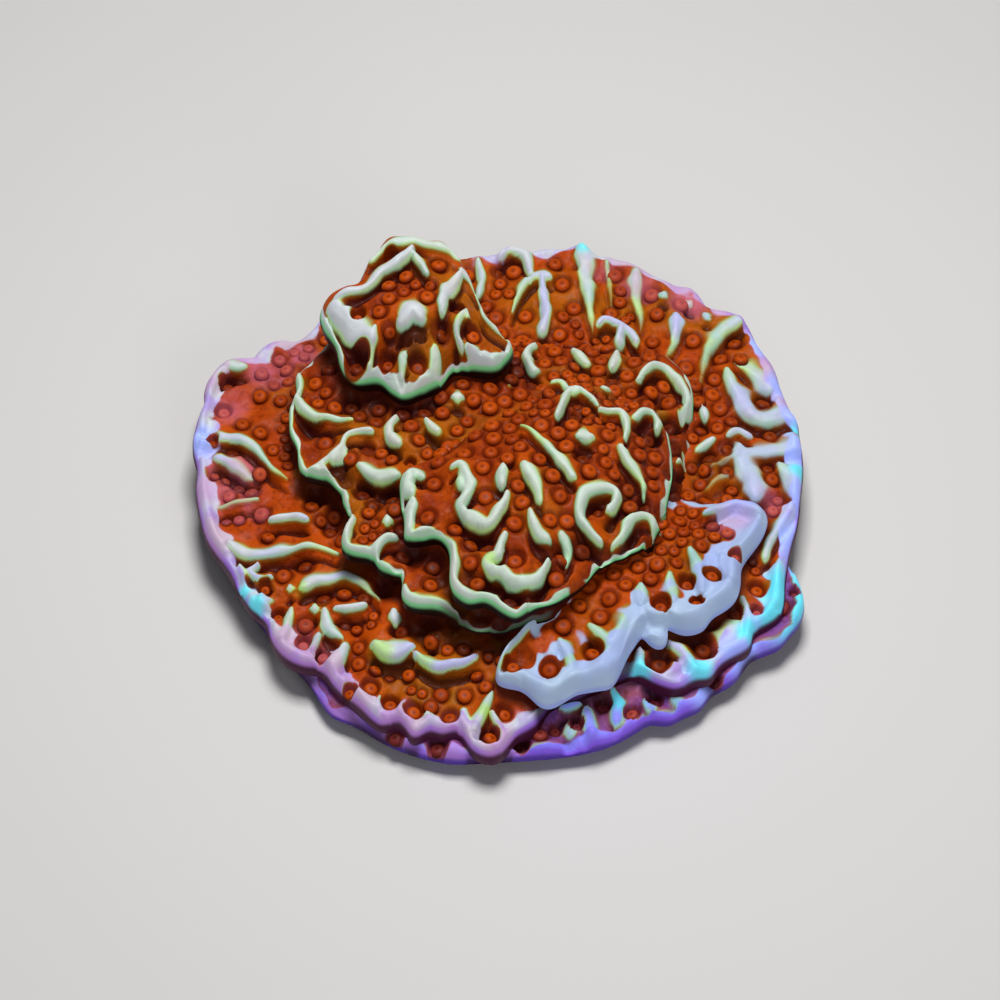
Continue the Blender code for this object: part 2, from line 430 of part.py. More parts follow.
class Shelf:
    """One shelf of the colony: a lobed plate whose heights are known at any plan point."""

    def __init__(self, name, below, above):
        """Work out the ridges and pits of a shelf, from the shelves below and rims above."""
        self.name = name
        self.below = below
        self.above = above
        self.rim = Rim(name)
        self.top, self.fall, self.thickness, self.tuck = FORMS[name]
        self.ridges = []
        for half_width, share, points in RIDGES[name]:
            self.ridges.append((half_width * UNIT, share * RIDGE_HEIGHT, self.laid(points)))
        self.pits = []
        for across, down, radius in PITS[name]:
            self.pits.append((self.laid([(across, down)])[0], radius * UNIT))

    def seat(self, x, y):
        """Height that the underside of this shelf may come down to."""
        height = np.zeros_like(x)
        for shelf in self.below:
            share = shelf.rim.share(x, y)[0]
            cover = shelf.smooth(x, y) + np.maximum(shelf.relief(x, y), 0) + SHELF_GAP
            height = np.where(share < 1.02, np.maximum(height, cover), height)
        return height

    def smooth(self, x, y):
        """Height of the top without its ridges."""
        share, height = self.rim.share(x, y)
        weight = np.clip(share, 0, 1) ** self.fall
        rise = height * weight + self.top * (1 - weight)
        return np.maximum(rise, self.seat(x, y) + THINNEST)

    def laid(self, points):
        """A smooth line through points of the view, carried down to the shelf."""
        line = np.asarray(points, float)
        if len(line) > 1:
            line = smooth_points(line, False, 4)
        height = np.full(len(line), self.top)
        for _ in range(8):
            x, y = sight(line[:, 0], line[:, 1], height)
            height = self.smooth(x, y) + 0.5 * RIDGE_HEIGHT
        return np.column_stack([x, y])

    def relief(self, x, y):
        """Height of ridges and pits above the smooth top."""
        total = np.zeros_like(x)
        for half_width, height, line in self.ridges:
            near = np.all([
                x > line[:, 0].min() - half_width,
                x < line[:, 0].max() + half_width,
                y > line[:, 1].min() - half_width,
                y < line[:, 1].max() + half_width,
            ], axis=0)
            if not near.any():
                continue
            away = distance_to_line(x[near], y[near], line)
            wall = np.clip((1 - away / half_width) / 0.7, 0, 1)
            total[near] = np.maximum(total[near], height * wall * wall * (3 - 2 * wall))
        for place, radius in self.pits:
            away = np.hypot(x - place[0], y - place[1]) / radius
            total -= PIT_DEPTH * np.clip(1 - away ** 2, 0, 1) ** 2 * (1 + total / RIDGE_HEIGHT)
        for rim in self.above:
            total *= np.clip((rim.share(x, y)[0] - 0.95) / 0.06, 0, 1)
        return total

    def plan(self, reach, angle):
        """Plan points at a distance and direction from the centre."""
        centre = self.rim.centre
        return centre[0] + reach * np.cos(angle), centre[1] + reach * np.sin(angle)

    def edge_half(self, angle):
        """Half the thickness of the rim in a direction from the centre."""
        radius = self.rim.at(angle)[0]
        x, y = self.plan(radius, angle)
        room = self.smooth(x, y) - self.seat(x, y)
        return np.minimum(self.thickness, room) / 2

    def top_points(self, share, angle):
        """Points of the top, from the centre out and over to the middle of the edge."""
        radius = self.rim.at(angle)[0]
        half = self.edge_half(angle)
        arc = share * (radius + (math.pi / 2 - 1) * half)
        bend = np.clip((arc - radius + half) / half, 0, math.pi / 2)
        reach = np.where(bend > 0, radius - half + half * np.sin(bend), arc)
        x, y = self.plan(reach, angle)
        z = self.smooth(x, y) + self.relief(x, y) * np.cos(bend) - half * (1 - np.cos(bend))
        return np.column_stack([x, y, z])

    def underside_points(self, share, angle):
        """Points of the underside, from the middle of the edge in to the seat."""
        radius = self.rim.at(angle)[0]
        half = self.edge_half(angle)
        seat_share = round((1 - self.tuck) * GRID / 2) / (GRID / 2)
        seat_reach = (1 - self.tuck) * radius
        arc_length = radius + (math.pi / 2 - 1) * half - seat_reach
        outer = np.clip((share - seat_share) / (1 - seat_share), 0, 1)
        arc = seat_reach + outer * arc_length
        arc = np.where(share < seat_share, share / seat_share * seat_reach, arc)
        bend = np.clip((arc - radius + half) / half, 0, math.pi / 2)
        reach = np.where(bend > 0, radius - half + half * np.sin(bend), arc)
        x, y = self.plan(reach, angle)
        lip = self.smooth(*self.plan(radius, angle)) - 2 * half
        seat = self.seat(x, y)
        hang = np.clip((reach - seat_reach) / (radius - half - seat_reach), 0, 1) ** HOLLOW
        z = np.maximum(seat, seat + (lip - seat) * hang)
        return np.column_stack([x, y, z + half * (1 - np.cos(bend))])

    def body(self):
        """Vertices and faces of the shelf as one closed body."""
        share, angle = disc_grid()
        top = self.top_points(share, angle)
        underside = self.underside_points(share, angle)
        index = np.arange((GRID + 1) ** 2).reshape(GRID + 1, GRID + 1)
        quads = np.stack([index[:-1, :-1], index[:-1, 1:], index[1:, 1:], index[1:, :-1]], axis=-1)
        quads = quads.reshape(-1, 4)
        inner = np.zeros_like(index, bool)
        inner[1:-1, 1:-1] = True
        inner = inner.ravel()
        lower_index = np.arange(len(top))
        lower_index[inner] = len(top) + np.arange(inner.sum())
        vertices = np.vstack([top, underside[inner]])
        faces = np.vstack([quads, lower_index[quads][:, ::-1]])
        return vertices, faces


def disc_grid():
    """Share of the radius and direction for each point of a square grid laid on a disc."""
    span = np.linspace(-1, 1, GRID + 1)
    a, b = np.meshgrid(span, span)
    a, b = a.ravel(), b.ravel()
    wide = np.abs(a) > np.abs(b)
    signed = np.where(wide, a, b)
    divisor = np.where(signed == 0, 1, signed)
    turn = math.pi / 4 * np.where(wide, b, a) / divisor
    turn = np.where(wide, turn, math.pi / 2 - turn)
    return np.abs(signed), np.where(signed < 0, turn + math.pi, turn)


def distance_to_line(x, y, line):
    """Least plan distance from each point to a line of points."""
    if len(line) == 1:
        return np.hypot(x - line[0, 0], y - line[0, 1])
    least = np.full(len(x), np.inf)
    for start, end in zip(line, line[1:]):
        step = end - start
        along = ((x - start[0]) * step[0] + (y - start[1]) * step[1]) / (step @ step)
        along = np.clip(along, 0, 1)
        away = np.hypot(x - start[0] - along * step[0], y - start[1] - along * step[1])
        least = np.minimum(least, away)
    return least


def coral_material(name, colour, roughness):
    """A plain material for one shelf."""
    material = bpy.data.materials.new(name)
    material.use_nodes = True
    shader = material.node_tree.nodes["Principled BSDF"]
    shader.inputs["Base Color"].default_value = (*colour, 1.0)
    shader.inputs["Roughness"].default_value = roughness
    shader.inputs["Metallic"].default_value = 0.0
    material.diffuse_color = (*colour, 1.0)
    return material


def add_shelf(shelf, material):
    """Make the object of one shelf, thinned to its share of triangles."""
    vertices, faces = shelf.body()
    mesh = bpy.data.meshes.new(shelf.name)
    mesh.from_pydata((vertices * MM).tolist(), [], faces.tolist())
    mesh.materials.append(material)
    mesh.shade_smooth()
    shelf_object = bpy.data.objects.new(shelf.name, mesh)
    bpy.context.collection.objects.link(shelf_object)
    thin = shelf_object.modifiers.new("thin out flat stretches", "DECIMATE")
    thin.decimate_type = "COLLAPSE"
    thin.ratio = TRIANGLES[shelf.name] / (2 * len(faces))
    thin.use_collapse_triangulate = True
    return shelf_object


def main():
    """Build the colony from the base up."""
    for old in list(bpy.data.objects):
        bpy.data.objects.remove(old, do_unlink=True)
    shelves = {}
    for name, below in BELOW.items():
        above = [Rim(upper) for upper, lower in BELOW.items() if name in lower]
        shelves[name] = Shelf(name, [shelves[lower] for lower in below], above)
        colour, roughness = COLOURS[name]
        add_shelf(shelves[name], coral_material(name, colour, roughness))


main()
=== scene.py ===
import math
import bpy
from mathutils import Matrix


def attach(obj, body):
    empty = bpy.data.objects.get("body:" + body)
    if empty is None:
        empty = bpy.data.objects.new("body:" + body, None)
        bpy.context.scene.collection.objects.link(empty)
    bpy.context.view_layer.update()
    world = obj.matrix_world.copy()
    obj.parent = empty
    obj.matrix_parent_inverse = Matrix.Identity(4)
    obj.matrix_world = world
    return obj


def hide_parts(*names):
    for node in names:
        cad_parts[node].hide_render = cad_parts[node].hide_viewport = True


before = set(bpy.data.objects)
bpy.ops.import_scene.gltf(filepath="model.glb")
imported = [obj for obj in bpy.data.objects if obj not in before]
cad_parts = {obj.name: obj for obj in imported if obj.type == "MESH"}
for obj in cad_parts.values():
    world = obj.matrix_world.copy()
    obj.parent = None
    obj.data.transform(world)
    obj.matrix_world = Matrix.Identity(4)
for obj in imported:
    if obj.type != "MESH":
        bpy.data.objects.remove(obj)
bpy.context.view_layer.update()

from types import SimpleNamespace

import bpy
import numpy as np
from mathutils import Vector

# The look of a plating montipora colony: every shelf is a fine closed mesh in place of
# its plain solid, with smooth pale ridges and rims, orange tissue between them, and
# small domed polyps. Working lengths are millimetres; finished meshes are in metres.

# Driving dimensions, in millimetres, as in the solids
COLONY_WIDTH = 65.7
RIDGE_HEIGHT = 1.35
PIT_DEPTH = 0.8
MM = 0.001

# The photograph's view, which the rims and ridges are laid out on
PICTURE_SIZE = 1000.0
VIEW_SPAN = 614.0
VIEW_CENTRE = 500.0
VIEW_DISTANCE = 446.0
VIEW_ELEVATION = math.radians(55.0)
VIEW_TARGET = np.array([0.0, -2.0, 8.0])
UNIT = COLONY_WIDTH / VIEW_SPAN

# Polyps: radius and distance between them in millimetres, the trial places and rounds
# that spread them, the dome and its mouth as shares of the radius, and how far they lean
POLYP_RADIUS = 0.85
POLYP_SPACING = 2.0
POLYP_TRIES = 24000
EVENING_ROUNDS = 14
DOME_HEIGHT = 0.75
MOUTH_DEPTH = 0.24
MOUTH_RADIUS = 0.36
POLYP_LEAN = 0.14
RANDOM_SEED = 7

# How large a polyp is, as a share of its radius, how they vary, and in a pit how much of
# it the polyp fills and its largest radius in millimetres
POLYP_SIZES = (0.7, 1.1)
POLYP_VARIETY = (0.88, 1.05)
PIT_FILL = 0.62
LARGEST_POLYP = 1.0

# The tissue that one polyp takes up, as a share of its spacing squared, how far the others
# keep from one in a pit, as a share of both radii, and how far polyps tilt with the slope
# under them, which is felt over a step in millimetres
POLYP_SHARE = 0.9
PIT_ROOM = 1.1
POLYP_TILT = 0.6
SLOPE_STEP = 0.3

# Where polyps may grow, in millimetres: how far in from the rim, how far in under a shelf
# above, how much farther where that shelf lies lower, and how deep in the ground
RIM_CLEARANCE = 0.4
SHELF_CLEARANCE = 0.2
LOW_ROOM = 0.5
LOW_ROOM_REACH = 2.5
BURIED = 0.3

# How far round a polyp's foot ridges are looked for, as a share of its radius, in how
# many directions, and on how much of a ridge, slope, smooth patch or pale rim it may sit
FOOT_REACH = 0.55
FOOT_SIDES = 8
ON_RIDGE = 0.42
ON_SLOPE = 0.62
ON_SMOOTH = 0.4
ON_LIP = 0.45

# The bowl round each polyp: depth in millimetres, and reach as a share of its radius
BOWL_DEPTH = 0.32
BOWL_REACH = 1.5

# Ridges: how wide they spread, how unevenly and over what length, how far their feet are
# looked for in half widths, and how much they lean towards the back
RIDGE_SPREAD = 1.05
RIDGE_WAVER = 0.22
WAVER_LENGTH = 2.8
RIDGE_REACH = 5.0
RIDGE_LEAN = 0.35

# The slope behind a ridge and the crevice before it
SLOPE_SHARE = 0.7
SLOPE_REACH = 2.8
CREVICE_REACH = 1.3
CREVICE_DEPTH = 1.0

# Rims, in millimetres: the roll along them, over what height a shelf comes clear of what
# it grows from, how deep its underside and its top run in before that, and how deep its
# edge dips where the two merge
RIM_ROLL = 0.35
EMERGING = (0.3, 1.5)
SINK = 0.4
DIVE = 0.9
MELT_DEPTH = 1.1

# The roll's distance in from the rim and its width, and the band that melts
ROLL_PLACE = 0.9
ROLL_WIDTH = 0.8
MELT_BAND = (-2.0, -0.6)

# Where the shelves above cover the ground, as shares of their radius: start and fade
COVER_START = 0.95
COVER_FADE = 0.06

# The pale band of a rim: how unevenly it runs and over what length, where it fades in as
# shares of its width, and how much wider it is in the "wide" patches
LIP_WAVER = 0.5
LIP_WAVER_LENGTH = 3.2
LIP_FADE = (-1.0, -0.35)
WIDER = 1.2

# Where marks fade in: pits, bowls and patches as shares of their radius, the drop and the
# start of a shelf's shade and the bands along the rim and the underside in millimetres
PIT_FADE = (0.05, 0.35)
BOWL_FADE = (0.0, 0.38)
PATCH_FADE = (0.35, 1.25)
SHADE_DROP = (0.8, 2.6)
SHADE_START = 0.2
OUTER_BAND = (-2.2, 0.0)
INNER_BAND = (0.4, 3.0)

# Seeds of the waves that make lumps, wavering ridges and wavering rims
LUMP_SEEDS = (3, 4)
RIDGE_SEED = 5
LIP_SEED = 6

# Soft lumps and hollows, in millimetres: how high, how long and how deep, and the waves
# that the lumps are made of
SWELL = 0.30
SWELL_LENGTHS = (5.0, 2.2)
SWELL_WAVES = 9
HOLLOW_DEPTH = 0.9

# Rims, as (across, down, height in mm), clockwise in the view from the left
RIMS = {
    "base_plate": [
        (212, 470, 4.6), (214, 520, 4.4), (228, 560, 4.2), (243, 600, 3.8), (262, 625, 3.4),
        (285, 655, 3.2), (310, 682, 3.0), (318, 695, 3.0), (331, 712, 3.0), (355, 722, 3.0),
        (382, 738, 2.8), (410, 750, 2.8), (450, 759, 2.8), (490, 758, 2.8), (525, 756, 2.8),
        (560, 753, 2.8), (590, 748, 3.0), (615, 740, 3.0), (640, 726, 3.0), (652, 719, 3.0),
        (668, 722, 3.0), (685, 713, 3.0), (700, 707, 3.0), (712, 692, 3.0), (735, 679, 3.2),
        (750, 658, 3.4), (768, 650, 3.6), (781, 645, 3.8), (788, 635, 4.0), (800, 622, 4.2),
        (805, 603, 4.4), (799, 580, 4.6), (788, 560, 4.8), (782, 500, 4.8), (780, 430, 4.6),
        (755, 365, 4.6), (700, 315, 4.6), (620, 282, 4.6), (540, 275, 4.6), (460, 284, 4.6),
        (385, 312, 4.6), (310, 355, 4.6), (250, 390, 4.6), (222, 430, 4.6),
    ],
    "main_plate": [
        (192, 440, 7.4), (196, 420, 7.6), (204, 403, 7.8), (203, 390, 7.8), (210, 373, 7.8),
        (221, 363, 8.0), (236, 358, 8.0), (250, 361, 8.0), (259, 347, 8.0), (275, 340, 8.0),
        (290, 339, 8.0), (302, 335, 8.0), (313, 329, 8.0), (322, 315, 8.2), (345, 300, 8.4),
        (385, 276, 8.6), (430, 262, 8.8), (480, 256, 9.0), (500, 253, 9.2), (517, 250, 9.4),
        (532, 251, 9.4), (543, 247, 9.6), (560, 250, 9.6), (577, 244, 10.0), (590, 248, 9.8),
        (598, 258, 9.2), (610, 255, 9.2), (627, 261, 9.0), (645, 271, 8.8), (660, 276, 8.6),
        (675, 283, 8.6), (690, 286, 8.4), (702, 296, 8.2), (708, 307, 8.0), (727, 311, 8.0),
        (742, 317, 7.8), (752, 329, 7.8), (757, 342, 7.6), (766, 353, 7.6), (776, 369, 7.4),
        (781, 386, 7.2), (789, 405, 7.2), (798, 421, 7.0), (801, 440, 7.0), (804, 465, 6.8),
        (801, 500, 6.6), (798, 525, 6.4), (791, 550, 6.2), (786, 580, 6.0), (785, 605, 5.8),
        (778, 619, 5.6), (764, 628, 5.4), (754, 633, 5.2), (752, 646, 5.2), (742, 656, 5.2),
        (728, 661, 5.2), (718, 669, 5.2), (711, 680, 5.2), (695, 682, 5.2), (680, 691, 5.2),
        (664, 689, 5.2), (650, 683, 5.2), (636, 674, 5.2), (615, 682, 5.0), (590, 692, 5.0),
        (560, 702, 5.0), (545, 712, 4.8), (541, 724, 4.8), (528, 733, 4.8), (514, 738, 4.6),
        (508, 750, 4.6), (498, 758, 4.6), (484, 758, 4.6), (470, 751, 4.6), (463, 736, 4.8),
        (453, 734, 4.8), (445, 737, 4.8), (434, 733, 4.8), (425, 732, 4.8), (416, 742, 4.8),
        (408, 736, 4.8), (402, 727, 4.8), (393, 724, 4.8), (384, 728, 4.8), (370, 720, 4.8),
        (354, 706, 5.0), (336, 691, 5.0), (325, 676, 5.2), (316, 669, 5.0), (303, 668, 5.2),
        (286, 661, 5.2), (276, 651, 5.2), (270, 640, 5.4), (265, 622, 5.4), (252, 612, 5.6),
        (243, 600, 5.8), (235, 585, 6.0), (229, 573, 6.2), (220, 560, 6.4), (207, 542, 6.6),
        (200, 520, 6.8), (195, 490, 7.0), (197, 470, 7.2), (193, 455, 7.4),
    ],
    "front_shelf": [
        (520, 560, 8.6), (524, 600, 9.0), (533, 625, 10.0), (520, 637, 9.8), (508, 648, 9.6),
        (499, 660, 9.4), (492, 673, 9.2), (500, 681, 9.2), (518, 682, 9.0), (530, 691, 8.8),
        (541, 702, 8.6), (553, 704, 8.6), (562, 698, 8.6), (567, 688, 8.8), (580, 687, 8.8),
        (598, 684, 9.0), (616, 681, 9.0), (620, 666, 9.2), (626, 653, 9.4), (635, 640, 9.6),
        (643, 630, 9.6), (650, 638, 9.4), (660, 643, 9.4), (668, 637, 9.4), (668, 621, 9.6),
        (680, 627, 9.6), (692, 628, 9.6), (704, 624, 9.6), (714, 611, 9.6), (726, 604, 9.6),
        (737, 594, 9.6), (741, 580, 9.6), (742, 563, 9.6), (751, 548, 9.6), (762, 534, 9.6),
        (769, 514, 9.4), (758, 503, 9.0), (735, 502, 8.6), (705, 490, 8.4), (660, 470, 8.4),
        (600, 480, 8.4), (545, 515, 8.4),
    ],
    "middle_tier": [
        (289, 425, 12.6), (289, 408, 12.6), (297, 393, 12.8), (294, 380, 12.8), (303, 371, 12.8),
        (318, 352, 12.4), (334, 334, 11.8), (354, 316, 11.2), (390, 304, 10.8), (440, 304, 10.4),
        (480, 316, 9.8), (508, 330, 9.6), (550, 338, 9.4),
        (600, 342, 9.4), (636, 352, 9.8), (655, 353, 10.2), (672, 359, 10.2), (688, 378, 10.0),
        (694, 398, 10.0), (693, 415, 9.6), (692, 438, 9.6), (691, 455, 9.4), (689, 480, 9.4),
        (684, 502, 9.4), (674, 522, 9.6), (655, 548, 10.0), (620, 570, 10.4), (590, 592, 10.8),
        (560, 612, 11.2), (530, 622, 11.4), (500, 630, 11.6), (470, 628, 11.6), (455, 620, 11.6),
        (440, 612, 11.6), (412, 609, 11.6), (401, 600, 11.6), (400, 588, 11.8), (412, 577, 11.8),
        (396, 577, 11.8), (379, 571, 11.8), (372, 560, 11.8), (350, 557, 12.0), (341, 548, 12.0),
        (343, 533, 12.0), (352, 521, 12.2), (343, 507, 12.2), (341, 495, 12.2), (330, 484, 12.4),
        (318, 474, 12.4), (304, 480, 12.4), (298, 466, 12.4), (297, 449, 12.4), (290, 438, 12.6),
    ],
    "crown": [
        (400, 500, 15.4), (401, 476, 15.4), (420, 462, 15.0), (440, 440, 14.2), (470, 415, 13.4),
        (510, 395, 12.8), (550, 374, 12.4), (580, 370, 12.4), (612, 380, 12.4), (640, 402, 12.4),
        (662, 412, 12.4), (670, 440, 12.4), (673, 470, 12.4), (668, 500, 12.6), (662, 525, 12.8),
        (648, 544, 13.2), (622, 556, 13.8), (600, 566, 14.2), (582, 586, 14.4), (560, 600, 14.6),
        (535, 608, 14.8), (518, 620, 14.8), (506, 617, 14.8), (496, 610, 14.8), (482, 602, 14.8),
        (470, 607, 14.8), (457, 600, 14.8), (449, 585, 15.0), (450, 562, 15.0), (445, 546, 15.2),
        (426, 533, 15.4), (414, 545, 15.2), (404, 545, 15.2), (404, 522, 15.4),
    ],
    "knoll": [
        (320, 320, 18.0), (319, 311, 18.2), (327, 300, 18.6), (345, 294, 19.0), (357, 285, 19.4),
        (364, 270, 19.8), (376, 254, 20.4), (386, 241, 21.0), (402, 239, 21.2), (415, 237, 21.2),
        (430, 243, 21.0), (450, 249, 20.6), (461, 260, 20.0), (471, 280, 19.2), (477, 298, 18.4),
        (486, 318, 17.4), (498, 329, 17.0), (512, 342, 16.6), (514, 353, 16.4), (507, 364, 16.4),
        (498, 373, 16.4), (484, 373, 16.4), (470, 371, 16.4), (459, 369, 16.6), (449, 374, 16.6),
        (441, 387, 16.4), (428, 392, 16.4), (416, 397, 16.4), (404, 401, 16.4), (390, 394, 16.4),
        (380, 385, 16.4), (358, 386, 16.6),
        (345, 378, 16.8), (339, 366, 17.0), (336, 350, 17.4), (326, 336, 17.8),
    ],
}

# Height in the middle of each shelf, how sharply it falls to the rim, the thickness of
# the rim, how far in from the rim the underside meets what is below, and grid steps
FORMS = {
    "base_plate": (5.2, 2.0, 1.7, 0.42, 200),
    "main_plate": (9.4, 2.2, 2.1, 0.16, 276),
    "front_shelf": (11.2, 2.0, 2.2, 0.26, 170),
    "middle_tier": (15.2, 2.0, 1.3, 0.20, 230),
    "crown": (19.2, 2.0, 1.3, 0.20, 190),
    "knoll": (22.6, 2.6, 1.5, 0.22, 150),
}

# What each shelf grows from
BELOW = {
    "base_plate": [],
    "main_plate": ["base_plate"],
    "front_shelf": ["main_plate"],
    "middle_tier": ["main_plate", "front_shelf"],
    "crown": ["middle_tier"],
    "knoll": ["middle_tier", "main_plate"],
}

# Rings of the underside, those of them that go round the edge, and how roundly it hangs
UNDERSIDE_RINGS = 13
EDGE_RINGS = 4
UNDERSIDE_CURVE = 0.6

# Directions that a rim is kept in, and the length over which it is softened
RIM_STEPS = 1440
RIM_ROUNDING = 0.5

# Steps from point to point of a rim and of a ridge, rounds that lay a ridge on its shelf,
# and how far past its rim a shelf still carries the one above, as a share of its radius
RIM_POINT_STEPS = 6
RIDGE_POINT_STEPS = 5
LAYING_ROUNDS = 8
GROUND_REACH = 1.02

# Width of each shelf's pale rim, in millimetres
LIPS = {
    "base_plate": 0.9, "main_plate": 1.9, "front_shelf": 8.0, "middle_tier": 0.7, "crown": 0.7,
    "knoll": 0.7,
}

# How far round the edge of each shelf, from 0 on top to 1 at the middle of the edge, the
# colour of its underside starts, and where it is whole; on all but the front shelf that
# colour is painted shade
UNDER_EDGE = {
    "base_plate": (0.2, 1.1), "main_plate": (0.25, 0.9), "front_shelf": (0.7, 1.2),
    "middle_tier": (0.35, 0.95), "crown": (0.35, 0.95), "knoll": (0.35, 0.95),
}

# How far the shade of the shelves above reaches past their rims, in millimetres
SHADE_REACH = {
    "base_plate": 1.0, "main_plate": 1.3, "front_shelf": 1.4, "middle_tier": 2.3, "crown": 2.2,
    "knoll": 2.4,
}

# Patches of the view that differ from the rest, as (across, down, radius) in view units:
# where a rim melts into the shelf below, where it is bare or wide, hollows sunk deeper and
# darkened with painted shade, tissue without polyps, and five tints
PATCHES = {
    "melt": [
        (672, 415, 16), (670, 515, 14), (625, 572, 16), (705, 425, 22), (704, 455, 24),
        (704, 485, 26), (694, 520, 26), (675, 550, 26), (645, 574, 24), (609, 590, 20),
        (625, 344, 22), (550, 338, 26), (595, 343, 28), (508, 328, 18),
    ],
    "bare": [
        (506, 652, 22), (522, 640, 16), (583, 589, 16), (656, 540, 12), (438, 250, 16),
        (458, 262, 16), (474, 290, 14), (484, 314, 12), (560, 262, 12),
        (625, 285, 12), (745, 350, 10),
    ],
    "wide": [
        (350, 380, 16), (376, 384, 16), (404, 392, 18), (432, 386, 16), (488, 366, 16),
        (590, 725, 22), (625, 712, 22), (555, 730, 16), (700, 690, 18),
        (215, 390, 34), (205, 440, 30), (210, 500, 26), (225, 545, 20),
        (285, 645, 26), (330, 665, 26), (365, 700, 28), (410, 725, 28), (460, 735, 28),
        (510, 725, 28), (650, 670, 26), (690, 665, 28), (735, 640, 28), (752, 600, 26),
        (770, 580, 20), (790, 520, 20), (275, 350, 22), (776, 378, 16), (792, 410, 16),
        (798, 455, 18), (795, 550, 16),
    ],
    "hollow": [
        (310, 424, 15), (346, 479, 11), (364, 484, 13), (387, 490, 12), (376, 502, 11),
        (416, 553, 15), (434, 558, 15), (440, 574, 11), (480, 536, 13), (470, 576, 10),
        (490, 586, 14), (512, 592, 16), (538, 582, 14), (547, 562, 9), (556, 546, 8),
        (576, 545, 13), (592, 546, 14), (604, 552, 10), (574, 411, 14), (624, 490, 16),
        (620, 506, 14), (641, 501, 12), (632, 534, 9), (650, 431, 14), (664, 420, 11),
        (681, 425, 11), (670, 471, 9), (660, 396, 10), (580, 453, 8), (510, 464, 7),
        (393, 342, 13), (411, 347, 13), (457, 303, 9), (372, 403, 24), (402, 409, 18),
        (350, 398, 15), (430, 402, 14), (318, 492, 15), (330, 518, 13), (385, 583, 13),
        (430, 618, 15), (455, 614, 12), (481, 616, 13), (500, 626, 11), (575, 700, 16),
        (600, 694, 12), (650, 690, 11), (639, 641, 11), (690, 633, 14), (712, 622, 10),
        (520, 741, 10), (645, 664, 8), (395, 575, 9), (420, 631, 12), (300, 560, 9),
    ],
    "smooth": [
        (319, 471, 10), (705, 640, 14), (285, 490, 30), (262, 412, 20), (300, 535, 22),
        (350, 520, 12), (330, 565, 16),
        (250, 525, 16), (390, 600, 18), (345, 380, 14), (440, 500, 20), (350, 470, 12),
        (470, 350, 10), (600, 300, 14), (655, 330, 12), (560, 300, 10),
    ],
    "pink": [
        (205, 380, 22), (200, 490, 24), (210, 540, 30), (240, 360, 24),
        (290, 340, 26), (320, 665, 34), (350, 700, 34), (400, 728, 34), (450, 742, 30),
        (500, 745, 26), (285, 645, 26), (630, 268, 30), (680, 290, 28), (715, 312, 20),
        (765, 370, 22), (790, 400, 18), (735, 515, 22),
    ],
    "blue": [
        (800, 450, 30), (802, 490, 34), (798, 540, 34), (788, 590, 30), (765, 625, 26),
        (740, 655, 26), (200, 440, 20), (700, 690, 20), (757, 345, 16), (782, 385, 20),
        (796, 422, 26), (750, 400, 30), (755, 450, 36), (745, 490, 34), (690, 325, 24),
    ],
    "rose": [
        (228, 505, 40), (240, 470, 22), (268, 365, 28), (300, 350, 20), (225, 400, 26),
        (210, 510, 30), (214, 538, 24), (248, 516, 22), (205, 470, 14), (232, 362, 12),
        (320, 655, 16), (300, 640, 18), (728, 518, 20), (770, 500, 18), (742, 545, 16),
        (690, 300, 24), (640, 285, 20), (757, 612, 12), (600, 265, 18), (770, 375, 16),
    ],
    "green": [
        (300, 590, 9), (320, 598, 10), (420, 690, 14), (455, 695, 12), (500, 640, 12),
        (565, 450, 8), (660, 410, 10), (715, 545, 10), (435, 338, 7), (380, 655, 16),
        (425, 662, 12), (500, 675, 12), (484, 712, 8), (665, 632, 9), (690, 648, 8),
        (455, 317, 6), (310, 380, 8), (770, 582, 8), (490, 560, 7), (300, 470, 8),
    ],
    "cyan": [
        (784, 592, 32), (778, 617, 26), (800, 606, 26), (748, 632, 14), (700, 668, 16),
        (640, 672, 14), (618, 700, 14), (583, 250, 9), (800, 470, 14), (255, 606, 12),
        (243, 590, 10), (796, 430, 10),
    ],
}

